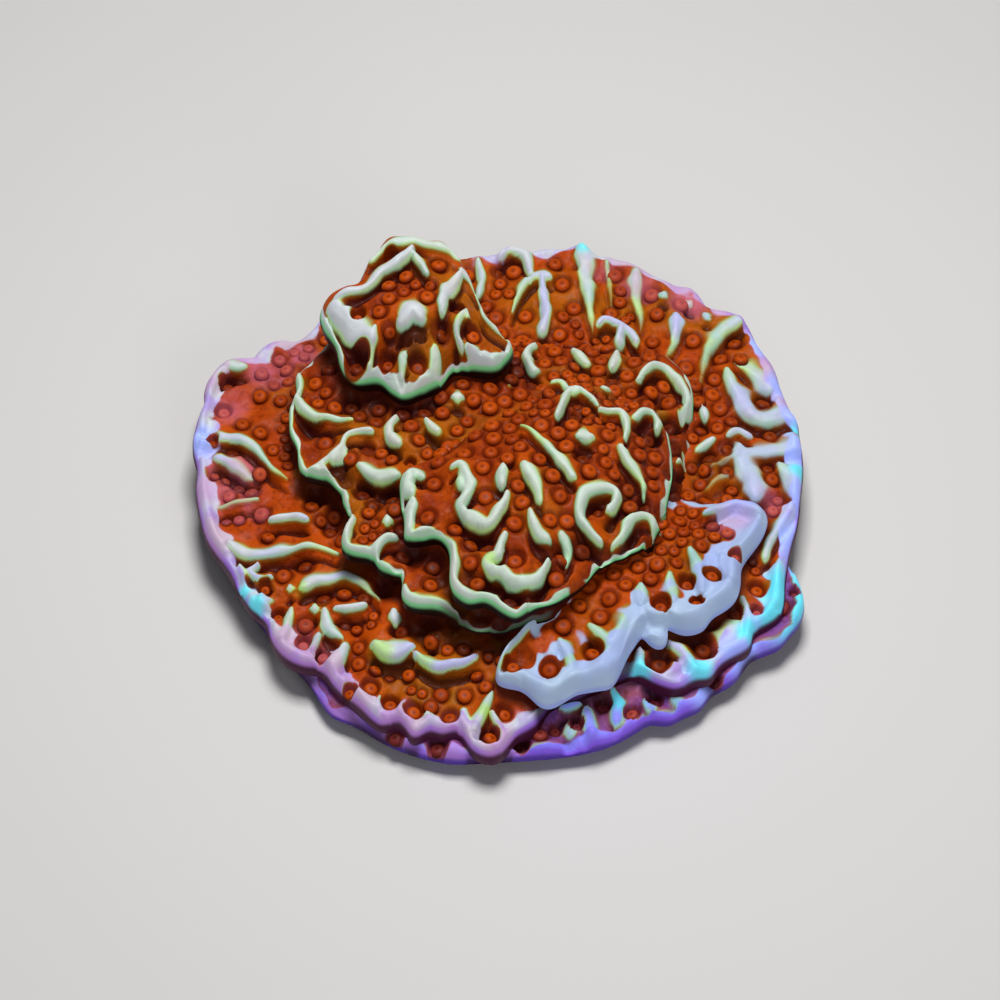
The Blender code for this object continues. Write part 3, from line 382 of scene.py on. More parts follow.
# Ridges, as (half width at the start and at the end in view units, height as a share of
# RIDGE_HEIGHT, points)
RIDGES = {
    "base_plate": [
        (7, 10, 0.9, [(586, 706), (588, 721), (592, 738)]),
        (7, 10, 0.9, [(613, 690), (618, 705), (616, 724)]),
        (7, 7, 0.8, [(562, 708), (580, 701)]),
        (7, 9, 0.8, [(646, 700), (652, 712)]),
        (6, 10, 0.7, [(570, 718), (570, 736)]),
        (6, 9, 0.7, [(672, 694), (680, 706)]),
        (6, 6, 0.6, [(384, 733), (412, 745), (450, 753), (490, 752), (525, 750), (560, 747)]),
        (6, 6, 0.6, [(592, 742), (616, 733), (640, 720), (668, 716), (698, 702), (716, 686)]),
        (6, 6, 0.6, [(716, 686), (738, 673), (752, 654), (780, 640), (798, 620)]),
        (7, 7, 0.8, [(797, 565), (799, 585), (801, 603), (795, 620)]),
    ],
    "main_plate": [
        (6.5, 6.5, 1.0, [(500, 259), (506, 253), (516, 252), (526, 257), (530, 273)]),
        (3.0, 8.0, 0.9, [(512, 312), (516, 300), (521, 288), (530, 279), (540, 275), (549, 278)]),
        (6.0, 7.0, 1.0, [(542, 278), (544, 297), (546, 312), (543, 328), (538, 343)]),
        (13.0, 2.5, 1.0, [(581, 250), (584, 262), (586, 280), (589, 300), (591, 315), (593, 329)]),
        (6.0, 2.0, 0.6, [(607, 262), (610, 285), (612, 310)]),
        (11.0, 2.5, 0.8, [(636, 275), (636, 288), (637, 300), (641, 318), (641, 330)]),
        (11.0, 6.0, 0.9, [(676, 317), (675, 334)]),
        (7.0, 2.5, 0.8, [(676, 326), (674, 342), (666, 359)]),
        (13.0, 2.5, 0.8, [(740, 322), (724, 329), (713, 340), (707, 353), (703, 370), (698, 390)]),
        (5.0, 5.0, 1.0, [(598, 325), (606, 320), (619, 326), (632, 334), (637, 342)]),
        (7.0, 4.0, 1.0, [(621, 330), (618, 348), (611, 368)]),
        (6.0, 6.0, 0.7, [(660, 294), (666, 298)]),
        (6.0, 6.0, 0.7, [(686, 300), (691, 304)]),
        (6.0, 6.0, 0.7, [(704, 315), (709, 319)]),
        (8.0, 13.0, 0.9, [(727, 371), (731, 384), (739, 394), (744, 405), (749, 416)]),
        (12.0, 11.0, 0.8, [(749, 414), (760, 419), (772, 418), (784, 415), (798, 420)]),
        (5.0, 5.0, 0.9, [(702, 405), (706, 418)]),
        (4.0, 7.0, 0.9, [(696, 450), (705, 444), (712, 440)]),
        (3.0, 5.0, 0.5, [(706, 469), (722, 461), (738, 452)]),
        (3.0, 5.0, 0.5, [(695, 497), (711, 484), (728, 473)]),
        (9.0, 13.0, 0.8, [(737, 362), (750, 368), (760, 379), (768, 391)]),
        (9.0, 13.0, 0.8, [(748, 452), (769, 451), (785, 447), (799, 446)]),
        (9.0, 14.0, 0.8, [(779, 464), (787, 474), (794, 485), (799, 498)]),
        (5.0, 6.0, 0.9, [(728, 437), (739, 431), (750, 436)]),
        (12.0, 16.0, 0.8, [(739, 444), (741, 457), (747, 470), (754, 483), (755, 497)]),
        (7.0, 7.0, 0.9, [(782, 560), (777, 580), (775, 600), (768, 615)]),
        (6.0, 6.0, 0.8, [(765, 560), (770, 540), (783, 520), (793, 505)]),
        (8.0, 2.5, 1.0, [(203, 445), (218, 437), (236, 439), (251, 445), (262, 456), (272, 468),
                    (287, 479)]),
        (9.0, 5.0, 0.9, [(217, 459), (229, 463), (240, 470), (250, 475), (260, 472)]),
        (3.0, 4.0, 0.6, [(209, 507), (232, 503), (258, 499)]),
        (5.0, 5.0, 1.0, [(270, 521), (285, 518), (298, 517), (307, 520)]),
        (8.0, 3.5, 1.0, [(228, 545), (241, 552), (258, 556), (275, 553), (290, 550), (303, 547),
                    (320, 547), (338, 553)]),
        (4.5, 4.5, 0.8, [(240, 565), (243, 578)]),
        (5.0, 5.0, 0.9, [(258, 565), (250, 573), (262, 581), (271, 578)]),
        (10.0, 10.0, 1.0, [(262, 599), (264, 606)]),
        (7.0, 7.0, 0.8, [(290, 586), (290, 591)]),
        (9.0, 2.5, 1.0, [(303, 589), (314, 582), (329, 579), (345, 575), (356, 579), (366, 585),
                    (373, 592), (380, 600)]),
        (6.0, 6.0, 0.8, [(315, 605), (315, 610)]),
        (7.0, 5.0, 0.9, [(324, 610), (326, 624), (332, 633), (342, 640)]),
        (5.0, 5.0, 0.9, [(335, 610), (350, 609), (365, 606)]),
        (7.0, 7.0, 0.9, [(394, 612), (395, 622)]),
        (10.0, 8.0, 1.2, [(376, 648), (386, 653), (398, 653), (412, 648)]),
        (6.0, 5.0, 1.2, [(416, 656), (425, 663), (442, 667), (459, 665), (476, 657)]),
        (4.5, 4.0, 1.0, [(455, 633), (463, 628), (475, 625), (487, 629), (496, 640)]),
        (5.0, 5.0, 0.8, [(430, 640), (436, 638)]),
        (9.0, 9.0, 0.8, [(228, 366), (244, 367)]),
        (7.0, 7.0, 0.8, [(203, 430), (204, 410), (212, 386), (222, 371)]),
        (7.0, 7.0, 0.7, [(201, 460), (201, 480), (205, 505), (211, 530), (223, 553), (235, 576)]),
        (6.0, 6.0, 0.7, [(243, 592), (255, 608), (268, 622)]),
        (8.0, 8.0, 0.9, [(277, 641), (287, 654), (301, 660), (313, 664)]),
        (6.0, 6.0, 0.8, [(291, 610), (287, 625), (283, 640)]),
        (6.0, 6.0, 0.8, [(319, 635), (312, 650)]),
        (10.0, 10.0, 0.9, [(345, 648), (336, 662), (332, 675), (342, 688), (358, 702), (375, 715),
                     (386, 721)]),
        (8.0, 8.0, 0.9, [(393, 719), (401, 723), (409, 731), (416, 737)]),
        (7.0, 7.0, 0.9, [(416, 737), (424, 728), (434, 728), (445, 732), (455, 729)]),
        (5.0, 5.0, 0.8, [(378, 712), (380, 697)]),
        (5.0, 5.0, 0.8, [(400, 722), (402, 705)]),
        (6.0, 6.0, 0.8, [(430, 726), (428, 710)]),
        (8.0, 8.0, 0.9, [(464, 712), (466, 730), (469, 743), (478, 752), (488, 754), (499, 752),
                    (506, 744), (514, 733), (528, 729), (539, 720), (541, 711)]),
        (4.0, 9.0, 1.0, [(492, 693), (486, 705), (479, 718), (473, 732)]),
        (5.0, 5.0, 0.9, [(492, 713), (498, 725), (502, 738)]),
        (7.0, 7.0, 1.0, [(639, 650), (640, 663), (645, 675), (656, 682), (668, 686), (681, 687)]),
        (6.0, 6.0, 0.9, [(668, 640), (680, 650), (690, 664), (698, 674)]),
        (8.0, 8.0, 0.9, [(681, 687), (695, 678), (709, 675), (717, 665), (729, 656), (743, 650),
                    (749, 640), (748, 622), (743, 600)]),
        (5.0, 5.0, 0.8, [(648, 643), (658, 642), (668, 645)]),
        (14.0, 12.0, 0.7, [(716, 643), (728, 634), (736, 622)]),
        (9.0, 9.0, 0.7, [(666, 676), (680, 664)]),
        (6.0, 6.0, 0.9, [(757, 624), (768, 620), (779, 612)]),
        (6.0, 6.0, 0.8, [(342, 306), (350, 318), (352, 330)]),
        (6.0, 6.0, 0.9, [(366, 290), (376, 300), (378, 314)]),
        (5.5, 5.5, 0.8, [(392, 278), (402, 288), (402, 302)]),
        (6.0, 6.0, 0.9, [(425, 268), (430, 282), (424, 296)]),
        (6.0, 6.0, 0.8, [(455, 264), (452, 280), (460, 296)]),
        (5.5, 5.5, 0.8, [(478, 262), (482, 280), (478, 296)]),
    ],
    "front_shelf": [
        (5.0, 5.0, 1.0, [(535, 622), (520, 636), (509, 648), (501, 660), (496, 671), (502, 678),
                    (518, 679)]),
        (12.0, 12.0, 0.9, [(528, 681), (540, 690), (551, 692), (560, 682)]),
        (13.0, 13.0, 0.8, [(565, 676), (585, 675), (601, 671), (611, 657), (618, 641), (630, 623),
                     (645, 612)]),
        (12.0, 12.0, 0.8, [(650, 612), (672, 612), (690, 618), (704, 612), (721, 597), (732, 580)]),
        (11.0, 11.0, 0.8, [(732, 580), (735, 561), (748, 540), (758, 522)]),
        (6.0, 6.0, 0.9, [(705, 515), (720, 508), (735, 505), (750, 509), (761, 515)]),
        (7.0, 7.0, 0.7, [(590, 625), (600, 635), (607, 645)]),
        (8.0, 8.0, 0.7, [(641, 605), (641, 585)]),
        (8.0, 8.0, 0.7, [(673, 600), (670, 575)]),
        (7.0, 7.0, 0.7, [(702, 592), (697, 565), (690, 550)]),
        (7.0, 7.0, 0.7, [(727, 577), (722, 555)]),
        (7.0, 7.0, 0.7, [(573, 672), (568, 652), (560, 640)]),
    ],
    "middle_tier": [
        (6.0, 3.5, 1.0, [(297, 375), (299, 388), (297, 398), (303, 410), (313, 416), (324, 418),
                    (338, 418), (352, 420)]),
        (4.0, 4.5, 1.0, [(291, 409), (290, 424), (292, 437), (296, 450), (299, 463), (304, 476),
                    (312, 473), (320, 465), (331, 458), (341, 448), (346, 438), (356, 433),
                    (372, 433)]),
        (9.0, 9.0, 0.9, [(333, 461), (344, 449)]),
        (6.0, 6.0, 0.9, [(311, 475), (319, 475), (326, 480)]),
        (5.0, 4.5, 1.0, [(322, 467), (328, 478), (337, 489), (344, 500), (344, 510), (352, 519)]),
        (6.0, 8.0, 1.0, [(359, 466), (369, 472), (383, 478), (397, 478)]),
        (6.0, 6.0, 1.0, [(396, 418), (389, 426), (391, 437), (399, 444)]),
        (5.0, 5.0, 0.9, [(426, 418), (433, 428), (443, 435), (455, 438)]),
        (7.0, 7.0, 1.0, [(482, 400), (491, 409), (496, 419)]),
        (8.0, 8.0, 0.9, [(453, 398), (461, 398)]),
        (5.0, 5.0, 0.8, [(510, 385), (518, 392), (526, 398)]),
        (6.5, 6.5, 1.0, [(353, 522), (347, 532), (345, 544), (351, 553), (370, 554)]),
        (7.0, 7.0, 0.9, [(387, 517), (387, 524)]),
        (5.0, 4.0, 1.2, [(396, 539), (386, 541), (378, 548), (375, 558), (381, 567), (392, 573),
                    (402, 574)]),
        (7.0, 7.0, 1.0, [(404, 589), (406, 599), (415, 605), (431, 608), (443, 609), (456, 616)]),
        (4.5, 5.0, 1.0, [(638, 382), (644, 374), (655, 367), (666, 368), (675, 377), (682, 389),
                    (688, 400), (689, 408), (680, 415)]),
        (5.0, 6.0, 0.8, [(684, 396), (688, 406)]),
        (3.5, 4.5, 1.0, [(665, 452), (668, 468), (666, 482), (660, 492), (653, 496)]),
        (3.5, 3.5, 0.9, [(684, 447), (686, 457), (677, 464)]),
        (5.0, 4.0, 0.8, [(689, 496), (691, 501)]),
        (5.0, 5.0, 0.9, [(548, 607), (556, 609), (564, 606)]),
        (5.0, 5.0, 0.8, [(527, 605), (540, 604)]),
        (5.5, 5.5, 1.0, [(535, 347), (527, 353), (528, 361), (534, 370), (541, 374)]),
        (4.5, 4.5, 0.8, [(555, 372), (563, 370)]),
        (6.0, 6.0, 0.9, [(573, 350), (580, 356), (588, 363)]),
        (6.0, 6.0, 1.0, [(617, 354), (612, 367)]),
    ],
    "crown": [
        (8.5, 8.5, 1.0, [(411, 476), (407, 487), (412, 497)]),
        (8.0, 8.0, 1.0, [(412, 503), (409, 520), (408, 540)]),
        (5.0, 5.0, 0.9, [(405, 478), (415, 472), (423, 477)]),
        (6.5, 6.5, 1.0, [(408, 541), (417, 538), (426, 534), (436, 541), (447, 547), (452, 557),
                    (452, 570), (453, 584), (459, 594), (467, 600), (475, 602), (484, 600),
                    (492, 604), (501, 609), (509, 614), (518, 616), (526, 609)]),
        (6.0, 7.0, 1.0, [(452, 468), (460, 466), (468, 475), (470, 487), (465, 497), (461, 505),
                    (465, 514), (474, 520), (485, 525), (493, 520), (498, 511), (504, 503),
                    (507, 494)]),
        (9.0, 9.0, 0.8, [(462, 474), (465, 488)]),
        (6.0, 6.0, 1.0, [(503, 468), (502, 478), (502, 487)]),
        (9.0, 5.0, 1.0, [(524, 466), (532, 476), (537, 487), (540, 501)]),
        (5.5, 7.0, 1.0, [(530, 512), (533, 524), (539, 535), (548, 541)]),
        (6.0, 6.0, 1.0, [(505, 535), (500, 545), (498, 556), (487, 562), (492, 570), (503, 573),
                    (512, 580), (525, 583), (538, 577), (548, 561)]),
        (2.5, 8.0, 1.0, [(520, 424), (533, 431), (545, 443), (556, 454), (564, 464), (573, 476)]),
        (9.0, 9.0, 1.0, [(579, 437), (591, 437)]),
        (5.0, 3.5, 1.0, [(557, 417), (562, 404), (568, 392), (578, 390), (589, 396), (598, 407)]),
        (8.0, 8.0, 0.8, [(570, 392), (579, 391)]),
        (5.0, 5.0, 0.8, [(552, 385), (561, 382), (569, 390)]),
        (6.0, 6.0, 0.9, [(603, 387), (609, 389)]),
        (5.0, 4.0, 1.0, [(600, 411), (613, 411), (623, 414), (627, 426), (625, 440)]),
        (8.0, 3.0, 1.0, [(621, 449), (628, 461), (637, 473), (643, 483), (644, 496)]),
        (5.5, 5.5, 0.9, [(635, 418), (643, 413), (652, 413), (658, 420), (657, 431)]),
        (6.0, 6.0, 1.0, [(608, 512), (614, 504), (617, 494), (610, 488), (596, 489), (585, 493),
                    (581, 505), (581, 519), (588, 530), (600, 543)]),
        (8.0, 2.5, 0.9, [(562, 534), (567, 543), (568, 555), (566, 566)]),
        (4.5, 5.0, 0.9, [(612, 549), (621, 540), (627, 527), (634, 518), (645, 515), (653, 523),
                    (655, 536)]),
    ],
    "knoll": [
        (11.0, 11.0, 1.1, [(332, 310), (345, 322), (358, 335), (372, 342)]),
        (7.0, 7.0, 1.0, [(336, 302), (352, 292), (370, 283), (382, 272), (395, 264), (405, 255),
                    (412, 248)]),
        (5.0, 5.0, 0.8, [(412, 250), (420, 262), (427, 275)]),
        (6.0, 6.0, 0.8, [(371, 264), (380, 253), (390, 246), (402, 243), (415, 241), (430, 247),
                    (449, 253), (458, 262)]),
        (6.0, 8.0, 1.0, [(442, 312), (444, 298), (450, 286), (460, 276)]),
        (8.0, 2.0, 1.0, [(462, 274), (470, 284), (476, 298)]),
        (11.0, 11.0, 1.1, [(402, 322), (413, 312), (421, 320)]),
        (4.5, 4.0, 1.0, [(324, 320), (330, 335), (337, 350), (341, 366), (349, 378), (361, 382),
                    (376, 382), (388, 389), (400, 397), (413, 395), (423, 388), (438, 384)]),
        (2.5, 4.0, 0.9, [(476, 298), (484, 316), (496, 329), (508, 341), (511, 351), (503, 362)]),
        (6.0, 6.0, 0.9, [(503, 360), (492, 369), (480, 368), (468, 362)]),
        (3.0, 4.0, 0.9, [(470, 335), (462, 344), (457, 354), (462, 362)]),
        (5.0, 5.0, 0.8, [(376, 356), (372, 368), (369, 378)]),
        (7.0, 5.0, 0.8, [(405, 364), (404, 376), (402, 388)]),
        (7.0, 6.0, 0.8, [(436, 366), (436, 376), (433, 384)]),
    ],
}

# Pits that the largest polyps sit in, as (across, down, radius in view units)
PITS = {
    "base_plate": [
        (555, 726, 10), (577, 722, 10), (603, 702, 12), (633, 711, 12), (655, 697, 12),
        (396, 735, 13), (438, 745, 14), (522, 742, 12), (715, 678, 10), (795, 590, 8),
    ],
    "main_plate": [
        (659, 660, 17), (703, 645, 18), (757, 585, 12), (757, 609, 9), (490, 734, 13),
        (504, 708, 12), (370, 685, 13), (390, 700, 12), (413, 708, 13), (450, 715, 12),
        (303, 640, 11), (323, 655, 10), (548, 358, 10), (227, 379, 11), (223, 407, 12),
        (735, 610, 11), (212, 438, 9), (350, 690, 10), (278, 612, 9), (265, 585, 9),
    ],
    "front_shelf": [
        (550, 666, 14), (593, 648, 14), (661, 603, 13), (687, 577, 11), (697, 600, 10),
        (712, 572, 12), (524, 655, 15), (513, 663, 12), (735, 555, 9),
    ],
    "middle_tier": [(325, 437, 14), (410, 458, 8)],
    "crown": [(598, 505, 10), (515, 555, 14)],
    "knoll": [(357, 359, 17), (388, 367, 12), (418, 377, 12), (358, 312, 10), (457, 300, 10),
              (473, 352, 12), (391, 252, 10)],
}


def sight(across, down, height):
    """Plan point where the line of sight through a point of the view meets a height."""
    sine = math.sin(VIEW_ELEVATION)
    cosine = math.cos(VIEW_ELEVATION)
    right = (np.asarray(across, float) - VIEW_CENTRE) * UNIT
    up = (VIEW_CENTRE - np.asarray(down, float)) * UNIT
    eye_y = VIEW_TARGET[1] - VIEW_DISTANCE * cosine
    eye_z = VIEW_TARGET[2] + VIEW_DISTANCE * sine
    ray_y = VIEW_DISTANCE * cosine + up * sine
    ray_z = -VIEW_DISTANCE * sine + up * cosine
    reach = (np.asarray(height, float) - eye_z) / ray_z
    return VIEW_TARGET[0] + right * reach, eye_y + ray_y * reach


def smooth_points(points, closed, steps):
    """Points along a Catmull-Rom curve through the given points."""
    points = np.asarray(points, float)
    if closed:
        padded = np.vstack([points[-1:], points, points[:2]])
    else:
        padded = np.vstack([2 * points[0] - points[1], points, 2 * points[-1] - points[-2]])
    t = (np.arange(steps) / steps)[:, None]
    runs = []
    for a, b, c, d in zip(padded, padded[1:], padded[2:], padded[3:]):
        bend = 2 * a - 5 * b + 4 * c - d
        twist = 3 * b - a - 3 * c + d
        runs.append(0.5 * (2 * b + (c - a) * t + bend * t * t + twist * t ** 3))
    if not closed:
        runs.append(points[-1:])
    return np.vstack(runs)


def ease(value, low, high):
    """A smooth step from 0 at low to 1 at high."""
    t = np.clip((value - low) / (high - low), 0, 1)
    return t * t * (3 - 2 * t)


def swell(x, y, size, seed):
    """Soft lumps of about the given size, from -1 to 1, from a sum of tilted waves."""
    draws = np.random.default_rng(seed)
    total = np.zeros_like(x)
    for _ in range(SWELL_WAVES):
        heading = draws.uniform(0, math.tau)
        length = size * draws.uniform(0.7, 1.5)
        phase = draws.uniform(0, math.tau)
        total += np.sin(math.tau * (x * math.cos(heading) + y * math.sin(heading)) / length + phase)
    return total / SWELL_WAVES ** 0.5 / 1.4


def distance_to_line(x, y, line):
    """Least plan distance to a line, how far along it that is, and how far behind it."""
    least = np.full(len(x), np.inf)
    place = np.full(len(x), 0.5)
    behind = np.zeros(len(x))
    count = len(line) - 1
    for number in range(count):
        start, step = line[number], line[number + 1] - line[number]
        along = ((x - start[0]) * step[0] + (y - start[1]) * step[1]) / (step @ step)
        along = np.clip(along, 0, 1)
        away = np.hypot(x - start[0] - along * step[0], y - start[1] - along * step[1])
        nearer = away < least
        least[nearer] = away[nearer]
        place[nearer] = (number + along[nearer]) / count
        behind[nearer] = (y - start[1] - along * step[1])[nearer]
    return least, place, behind


class Rim:
    """The lobed outline of a shelf, seen as a radius and a height in each direction."""

    def __init__(self, name):
        """Carry the rim's points to the plan and sort them round the middle."""
        points = np.array(RIMS[name], float)
        plan = np.column_stack([*sight(points[:, 0], points[:, 1], points[:, 2]), points[:, 2]])
        loop = smooth_points(plan, True, RIM_POINT_STEPS)
        self.centre = (loop[:, :2].max(axis=0) + loop[:, :2].min(axis=0)) / 2
        arm = loop[:, :2] - self.centre
        turn = np.arctan2(arm[:, 1], arm[:, 0])
        radius = np.hypot(arm[:, 0], arm[:, 1])
        self.angles = np.arange(RIM_STEPS) * math.tau / RIM_STEPS
        span = (np.roll(turn, -1) - turn + math.pi) % math.tau - math.pi
        share = (self.angles[:, None] - turn + math.pi) % math.tau - math.pi
        share = share / np.where(span == 0, 1, span)
        across = (share >= 0) & (share <= 1)
        reach = np.where(across, radius + (np.roll(radius, -1) - radius) * share, -1)
        farthest = reach.argmax(axis=1)
        each = np.arange(RIM_STEPS)
        height = loop[:, 2] + (np.roll(loop[:, 2], -1) - loop[:, 2]) * share
        self.radii = self.rounded(reach[each, farthest], radius.mean())
        self.heights = self.rounded(height[each, farthest], radius.mean())

    def rounded(self, values, radius):
        """The values softened over a short length of the rim."""
        width = RIM_ROUNDING / radius * RIM_STEPS / math.tau
        offsets = np.arange(-int(3 * width), int(3 * width) + 1)
        weights = np.exp(-0.5 * (offsets / width) ** 2)
        total = sum(weight * np.roll(values, offset) for weight, offset in zip(weights, offsets))
        return total / weights.sum()

    def at(self, angle):
        """Radius and height of the rim in a direction from the centre."""
        radius = np.interp(angle, self.angles, self.radii, period=math.tau)
        height = np.interp(angle, self.angles, self.heights, period=math.tau)
        return radius, height

    def around(self, x, y):
        """Distance of plan points from the centre, and the rim's radius and height there."""
        dx = x - self.centre[0]
        dy = y - self.centre[1]
        radius, height = self.at(np.arctan2(dy, dx))
        return np.hypot(dx, dy), radius, height

    def share(self, x, y):
        """How far out plan points are, as a share of the radius, and the rim's height."""
        away, radius, height = self.around(x, y)
        return away / radius, height

    def beyond(self, x, y):
        """Distance outside the rim in millimetres, negative inside, and its height."""
        away, radius, height = self.around(x, y)
        return away - radius, height


class Shelf:
    """One shelf of the colony, with the height and the marks of any point of its top."""

    def __init__(self, name, below, above):
        """Work out ridges, pits and polyps, from the shelves below and the rims above."""
        self.name = name
        self.below = below
        self.above = above
        self.rim = Rim(name)
        self.top, self.fall, self.thickness, self.tuck, self.grid = FORMS[name]
        self.ridges = []
        for start_width, end_width, share, points in RIDGES[name]:
            widths = (start_width * UNIT, end_width * UNIT)
            self.ridges.append((widths, share * RIDGE_HEIGHT, self.laid(points)))
        self.pits = []
        for across, down, radius in PITS[name]:
            self.pits.append((self.laid([(across, down)])[0], radius * UNIT))
        self.polyps = self.placed_polyps()

    def ground(self, x, y):
        """Height of what this shelf grows from."""
        height = np.zeros_like(x)
        for shelf in self.below:
            share = shelf.rim.share(x, y)[0]
            raised = np.maximum(height, shelf.smooth(x, y))
            height = np.where(share < GROUND_REACH, raised, height)
        return height

    def smooth(self, x, y):
        """Height of the top without its ridges."""
        share, height = self.rim.share(x, y)
        weight = np.clip(share, 0, 1) ** self.fall
        return height * weight + self.top * (1 - weight)

    def laid(self, points):
        """A smooth line through points of the view, carried down to the shelf."""
        line = np.asarray(points, float)
        if len(line) > 1:
            line = smooth_points(line, False, RIDGE_POINT_STEPS)
        height = np.full(len(line), self.top)
        for _ in range(LAYING_ROUNDS):
            x, y = sight(line[:, 0], line[:, 1], height)
            height = self.smooth(x, y) + 0.5 * RIDGE_HEIGHT
        return np.column_stack([x, y])

    def uncovered(self, x, y):
        """1 on open ground and 0 under the shelves above."""
        open_share = np.ones_like(x)
        for rim in self.above:
            open_share *= np.clip((rim.share(x, y)[0] - COVER_START) / COVER_FADE, 0, 1)
        return open_share

    def ridge_parts(self, x, y):
        """Height of the ridges' crests and of the slopes behind them, and how far behind a
        crest each point is, from 0 to 1."""
        crest = np.zeros_like(x)
        slope = np.zeros_like(x)
        back = np.zeros_like(x)
        best = np.zeros_like(x)
        uneven = RIDGE_SPREAD * (1 + RIDGE_WAVER * swell(x, y, WAVER_LENGTH, RIDGE_SEED))
        for (start_width, end_width), height, line in self.ridges:
            widest = max(start_width, end_width)
            reach = RIDGE_REACH * widest
            near = np.all([
                x > line[:, 0].min() - reach,
                x < line[:, 0].max() + reach,
                y > line[:, 1].min() - reach,
                y < line[:, 1].max() + reach,
            ], axis=0)
            if not near.any():
                continue
            away, along, behind = distance_to_line(x[near], y[near], line)
            half_width = start_width + (end_width - start_width) * along
            taper = 0.5 + 0.5 * np.sin(math.pi * along) ** 0.5
            lean = behind / (away + 0.3)
            width = half_width * uneven[near] * taper * (1 + RIDGE_LEAN * lean)
            peak = height * (half_width / widest) ** 0.5
            share = peak * np.exp(-(away / width) ** (3 - lean))
            nearest = share > best[near]
            best[near] = np.where(nearest, share, best[near])
            back[near] = np.where(nearest, np.clip(lean, 0, 1), back[near])
            crest[near] += share ** 4
            rise = SLOPE_SHARE * peak * np.exp(-(away / (SLOPE_REACH * half_width)) ** 2)
            slope[near] = np.maximum(slope[near], rise * np.clip(0.4 + 0.6 * lean, 0, 1))
        open_share = self.uncovered(x, y)
        return crest ** 0.25 * open_share, slope * open_share, back

    def ridge_height(self, x, y):
        """Height of the ridges' crests above the smooth top."""
        return self.ridge_parts(x, y)[0]

    def pit_mark(self, x, y):
        """1 inside the pits and 0 outside, for their colour: no pale ridge or rim, and painted shade.
        """
        total = np.zeros_like(x)
        for place, radius in self.pits:
            away = np.hypot(x - place[0], y - place[1]) / radius
            total = np.maximum(total, ease(1 - away, *PIT_FADE))
        return total

    def crevice(self, x, y):
        """How deep a point is in the hollow on the near side of a ridge, from 0 to 1."""
        behind = self.ridge_height(x, y + CREVICE_REACH) / RIDGE_HEIGHT
        depth = np.clip(behind - 0.9 * self.ridge_height(x, y) / RIDGE_HEIGHT, 0, 1)
        return depth * (1 - patch_share(self, "bare", x, y))

    def emerged(self, x, y):
        """1 where the top stands clear of what it grows from, and 0 where it sinks in."""
        if not self.below:
            return np.ones_like(x)
        return ease(self.smooth(x, y) - self.ground(x, y), *EMERGING)

    def pit_depth(self, x, y):
        """Depth of the pits of the largest polyps, as a share of the deepest."""
        total = np.zeros_like(x)
        for place, radius in self.pits:
            away = np.hypot(x - place[0], y - place[1]) / radius
            total = np.maximum(total, np.clip(1 - away ** 2, 0, 1) ** 2)
        return total * self.uncovered(x, y)

    def placed_polyps(self):
        """Plan places and radii of the polyps: one in each pit, the rest in the tissue."""
        draws = np.random.default_rng(RANDOM_SEED + len(self.name))
        reach = self.rim.radii.max()
        tries = draws.uniform(-reach, reach, (POLYP_TRIES, 2)) + self.rim.centre
        tries = tries[self.is_tissue(tries[:, 0], tries[:, 1])]
        room = (2 * reach) ** 2 / POLYP_TRIES
        count = int(len(tries) * room / (POLYP_SHARE * POLYP_SPACING ** 2))
        places = evened(tries, count)
        near = np.hypot(places[:, None, 0] - places[:, 0], places[:, None, 1] - places[:, 1])
        near += 2 * reach * np.eye(len(places))
        sizes = POLYP_RADIUS * np.clip(0.5 * near.min(axis=1) / POLYP_RADIUS, *POLYP_SIZES)
        sizes *= draws.uniform(*POLYP_VARIETY, len(places))
        polyps = np.column_stack([places, sizes])
        for place, radius in self.pits:
            away = np.hypot(polyps[:, 0] - place[0], polyps[:, 1] - place[1])
            size = min(PIT_FILL * radius, LARGEST_POLYP)
            polyps = polyps[away > PIT_ROOM * (size + polyps[:, 2])]
            polyps = np.vstack([polyps, [*place, size]])
        return polyps

    def is_tissue(self, x, y):
        """True where polyps may grow: on open ground, off the ridges and the pale rim."""
        good = self.rim.beyond(x, y)[0] < -RIM_CLEARANCE - self.emerged(x, y)
        for rim in self.above:
            gap, height = rim.beyond(x, y)
            low = height < self.smooth(x, y) + LOW_ROOM
            good &= (gap > -SHELF_CLEARANCE) | ((gap > -LOW_ROOM_REACH) & low)
        good &= self.smooth(x, y) > self.ground(x, y) - BURIED
        ridge, slope, _ = self.ridge_parts(x, y)
        for side in range(FOOT_SIDES):
            turn = side * math.tau / FOOT_SIDES
            side_x = x + FOOT_REACH * POLYP_RADIUS * math.cos(turn)
            side_y = y + FOOT_REACH * POLYP_RADIUS * math.sin(turn)
            ridge = np.maximum(ridge, self.ridge_height(side_x, side_y))
        good &= ridge < ON_RIDGE * RIDGE_HEIGHT
        good &= slope < ON_SLOPE * SLOPE_SHARE * RIDGE_HEIGHT
        good &= patch_share(self, "smooth", x, y) < ON_SMOOTH
        return good & (self.pale_rim(x, y) < ON_LIP)

    def bowl(self, x, y):
        """How deep a point is in the bowl round a polyp, from 0 to 1."""
        deep = np.zeros_like(x)
        for place_x, place_y, size in self.polyps:
            reach = BOWL_REACH * size
            near = (np.abs(x - place_x) < reach) & (np.abs(y - place_y) < reach)
            away = np.hypot(x[near] - place_x, y[near] - place_y) / reach
            deep[near] = np.maximum(deep[near], ease(1 - away, *BOWL_FADE))
        return deep

    def pale_rim(self, x, y):
        """How far a point is in the pale band along the rim, from 0 to 1."""
        width = LIPS[self.name] * (1 + LIP_WAVER * swell(x, y, LIP_WAVER_LENGTH, LIP_SEED))
        width *= 1 + WIDER * patch_share(self, "wide", x, y)
        share = ease(self.rim.beyond(x, y)[0] / width, *LIP_FADE)
        plain = np.maximum(patch_share(self, "bare", x, y), patch_share(self, "melt", x, y))
        return share * self.emerged(x, y) * (1 - plain)

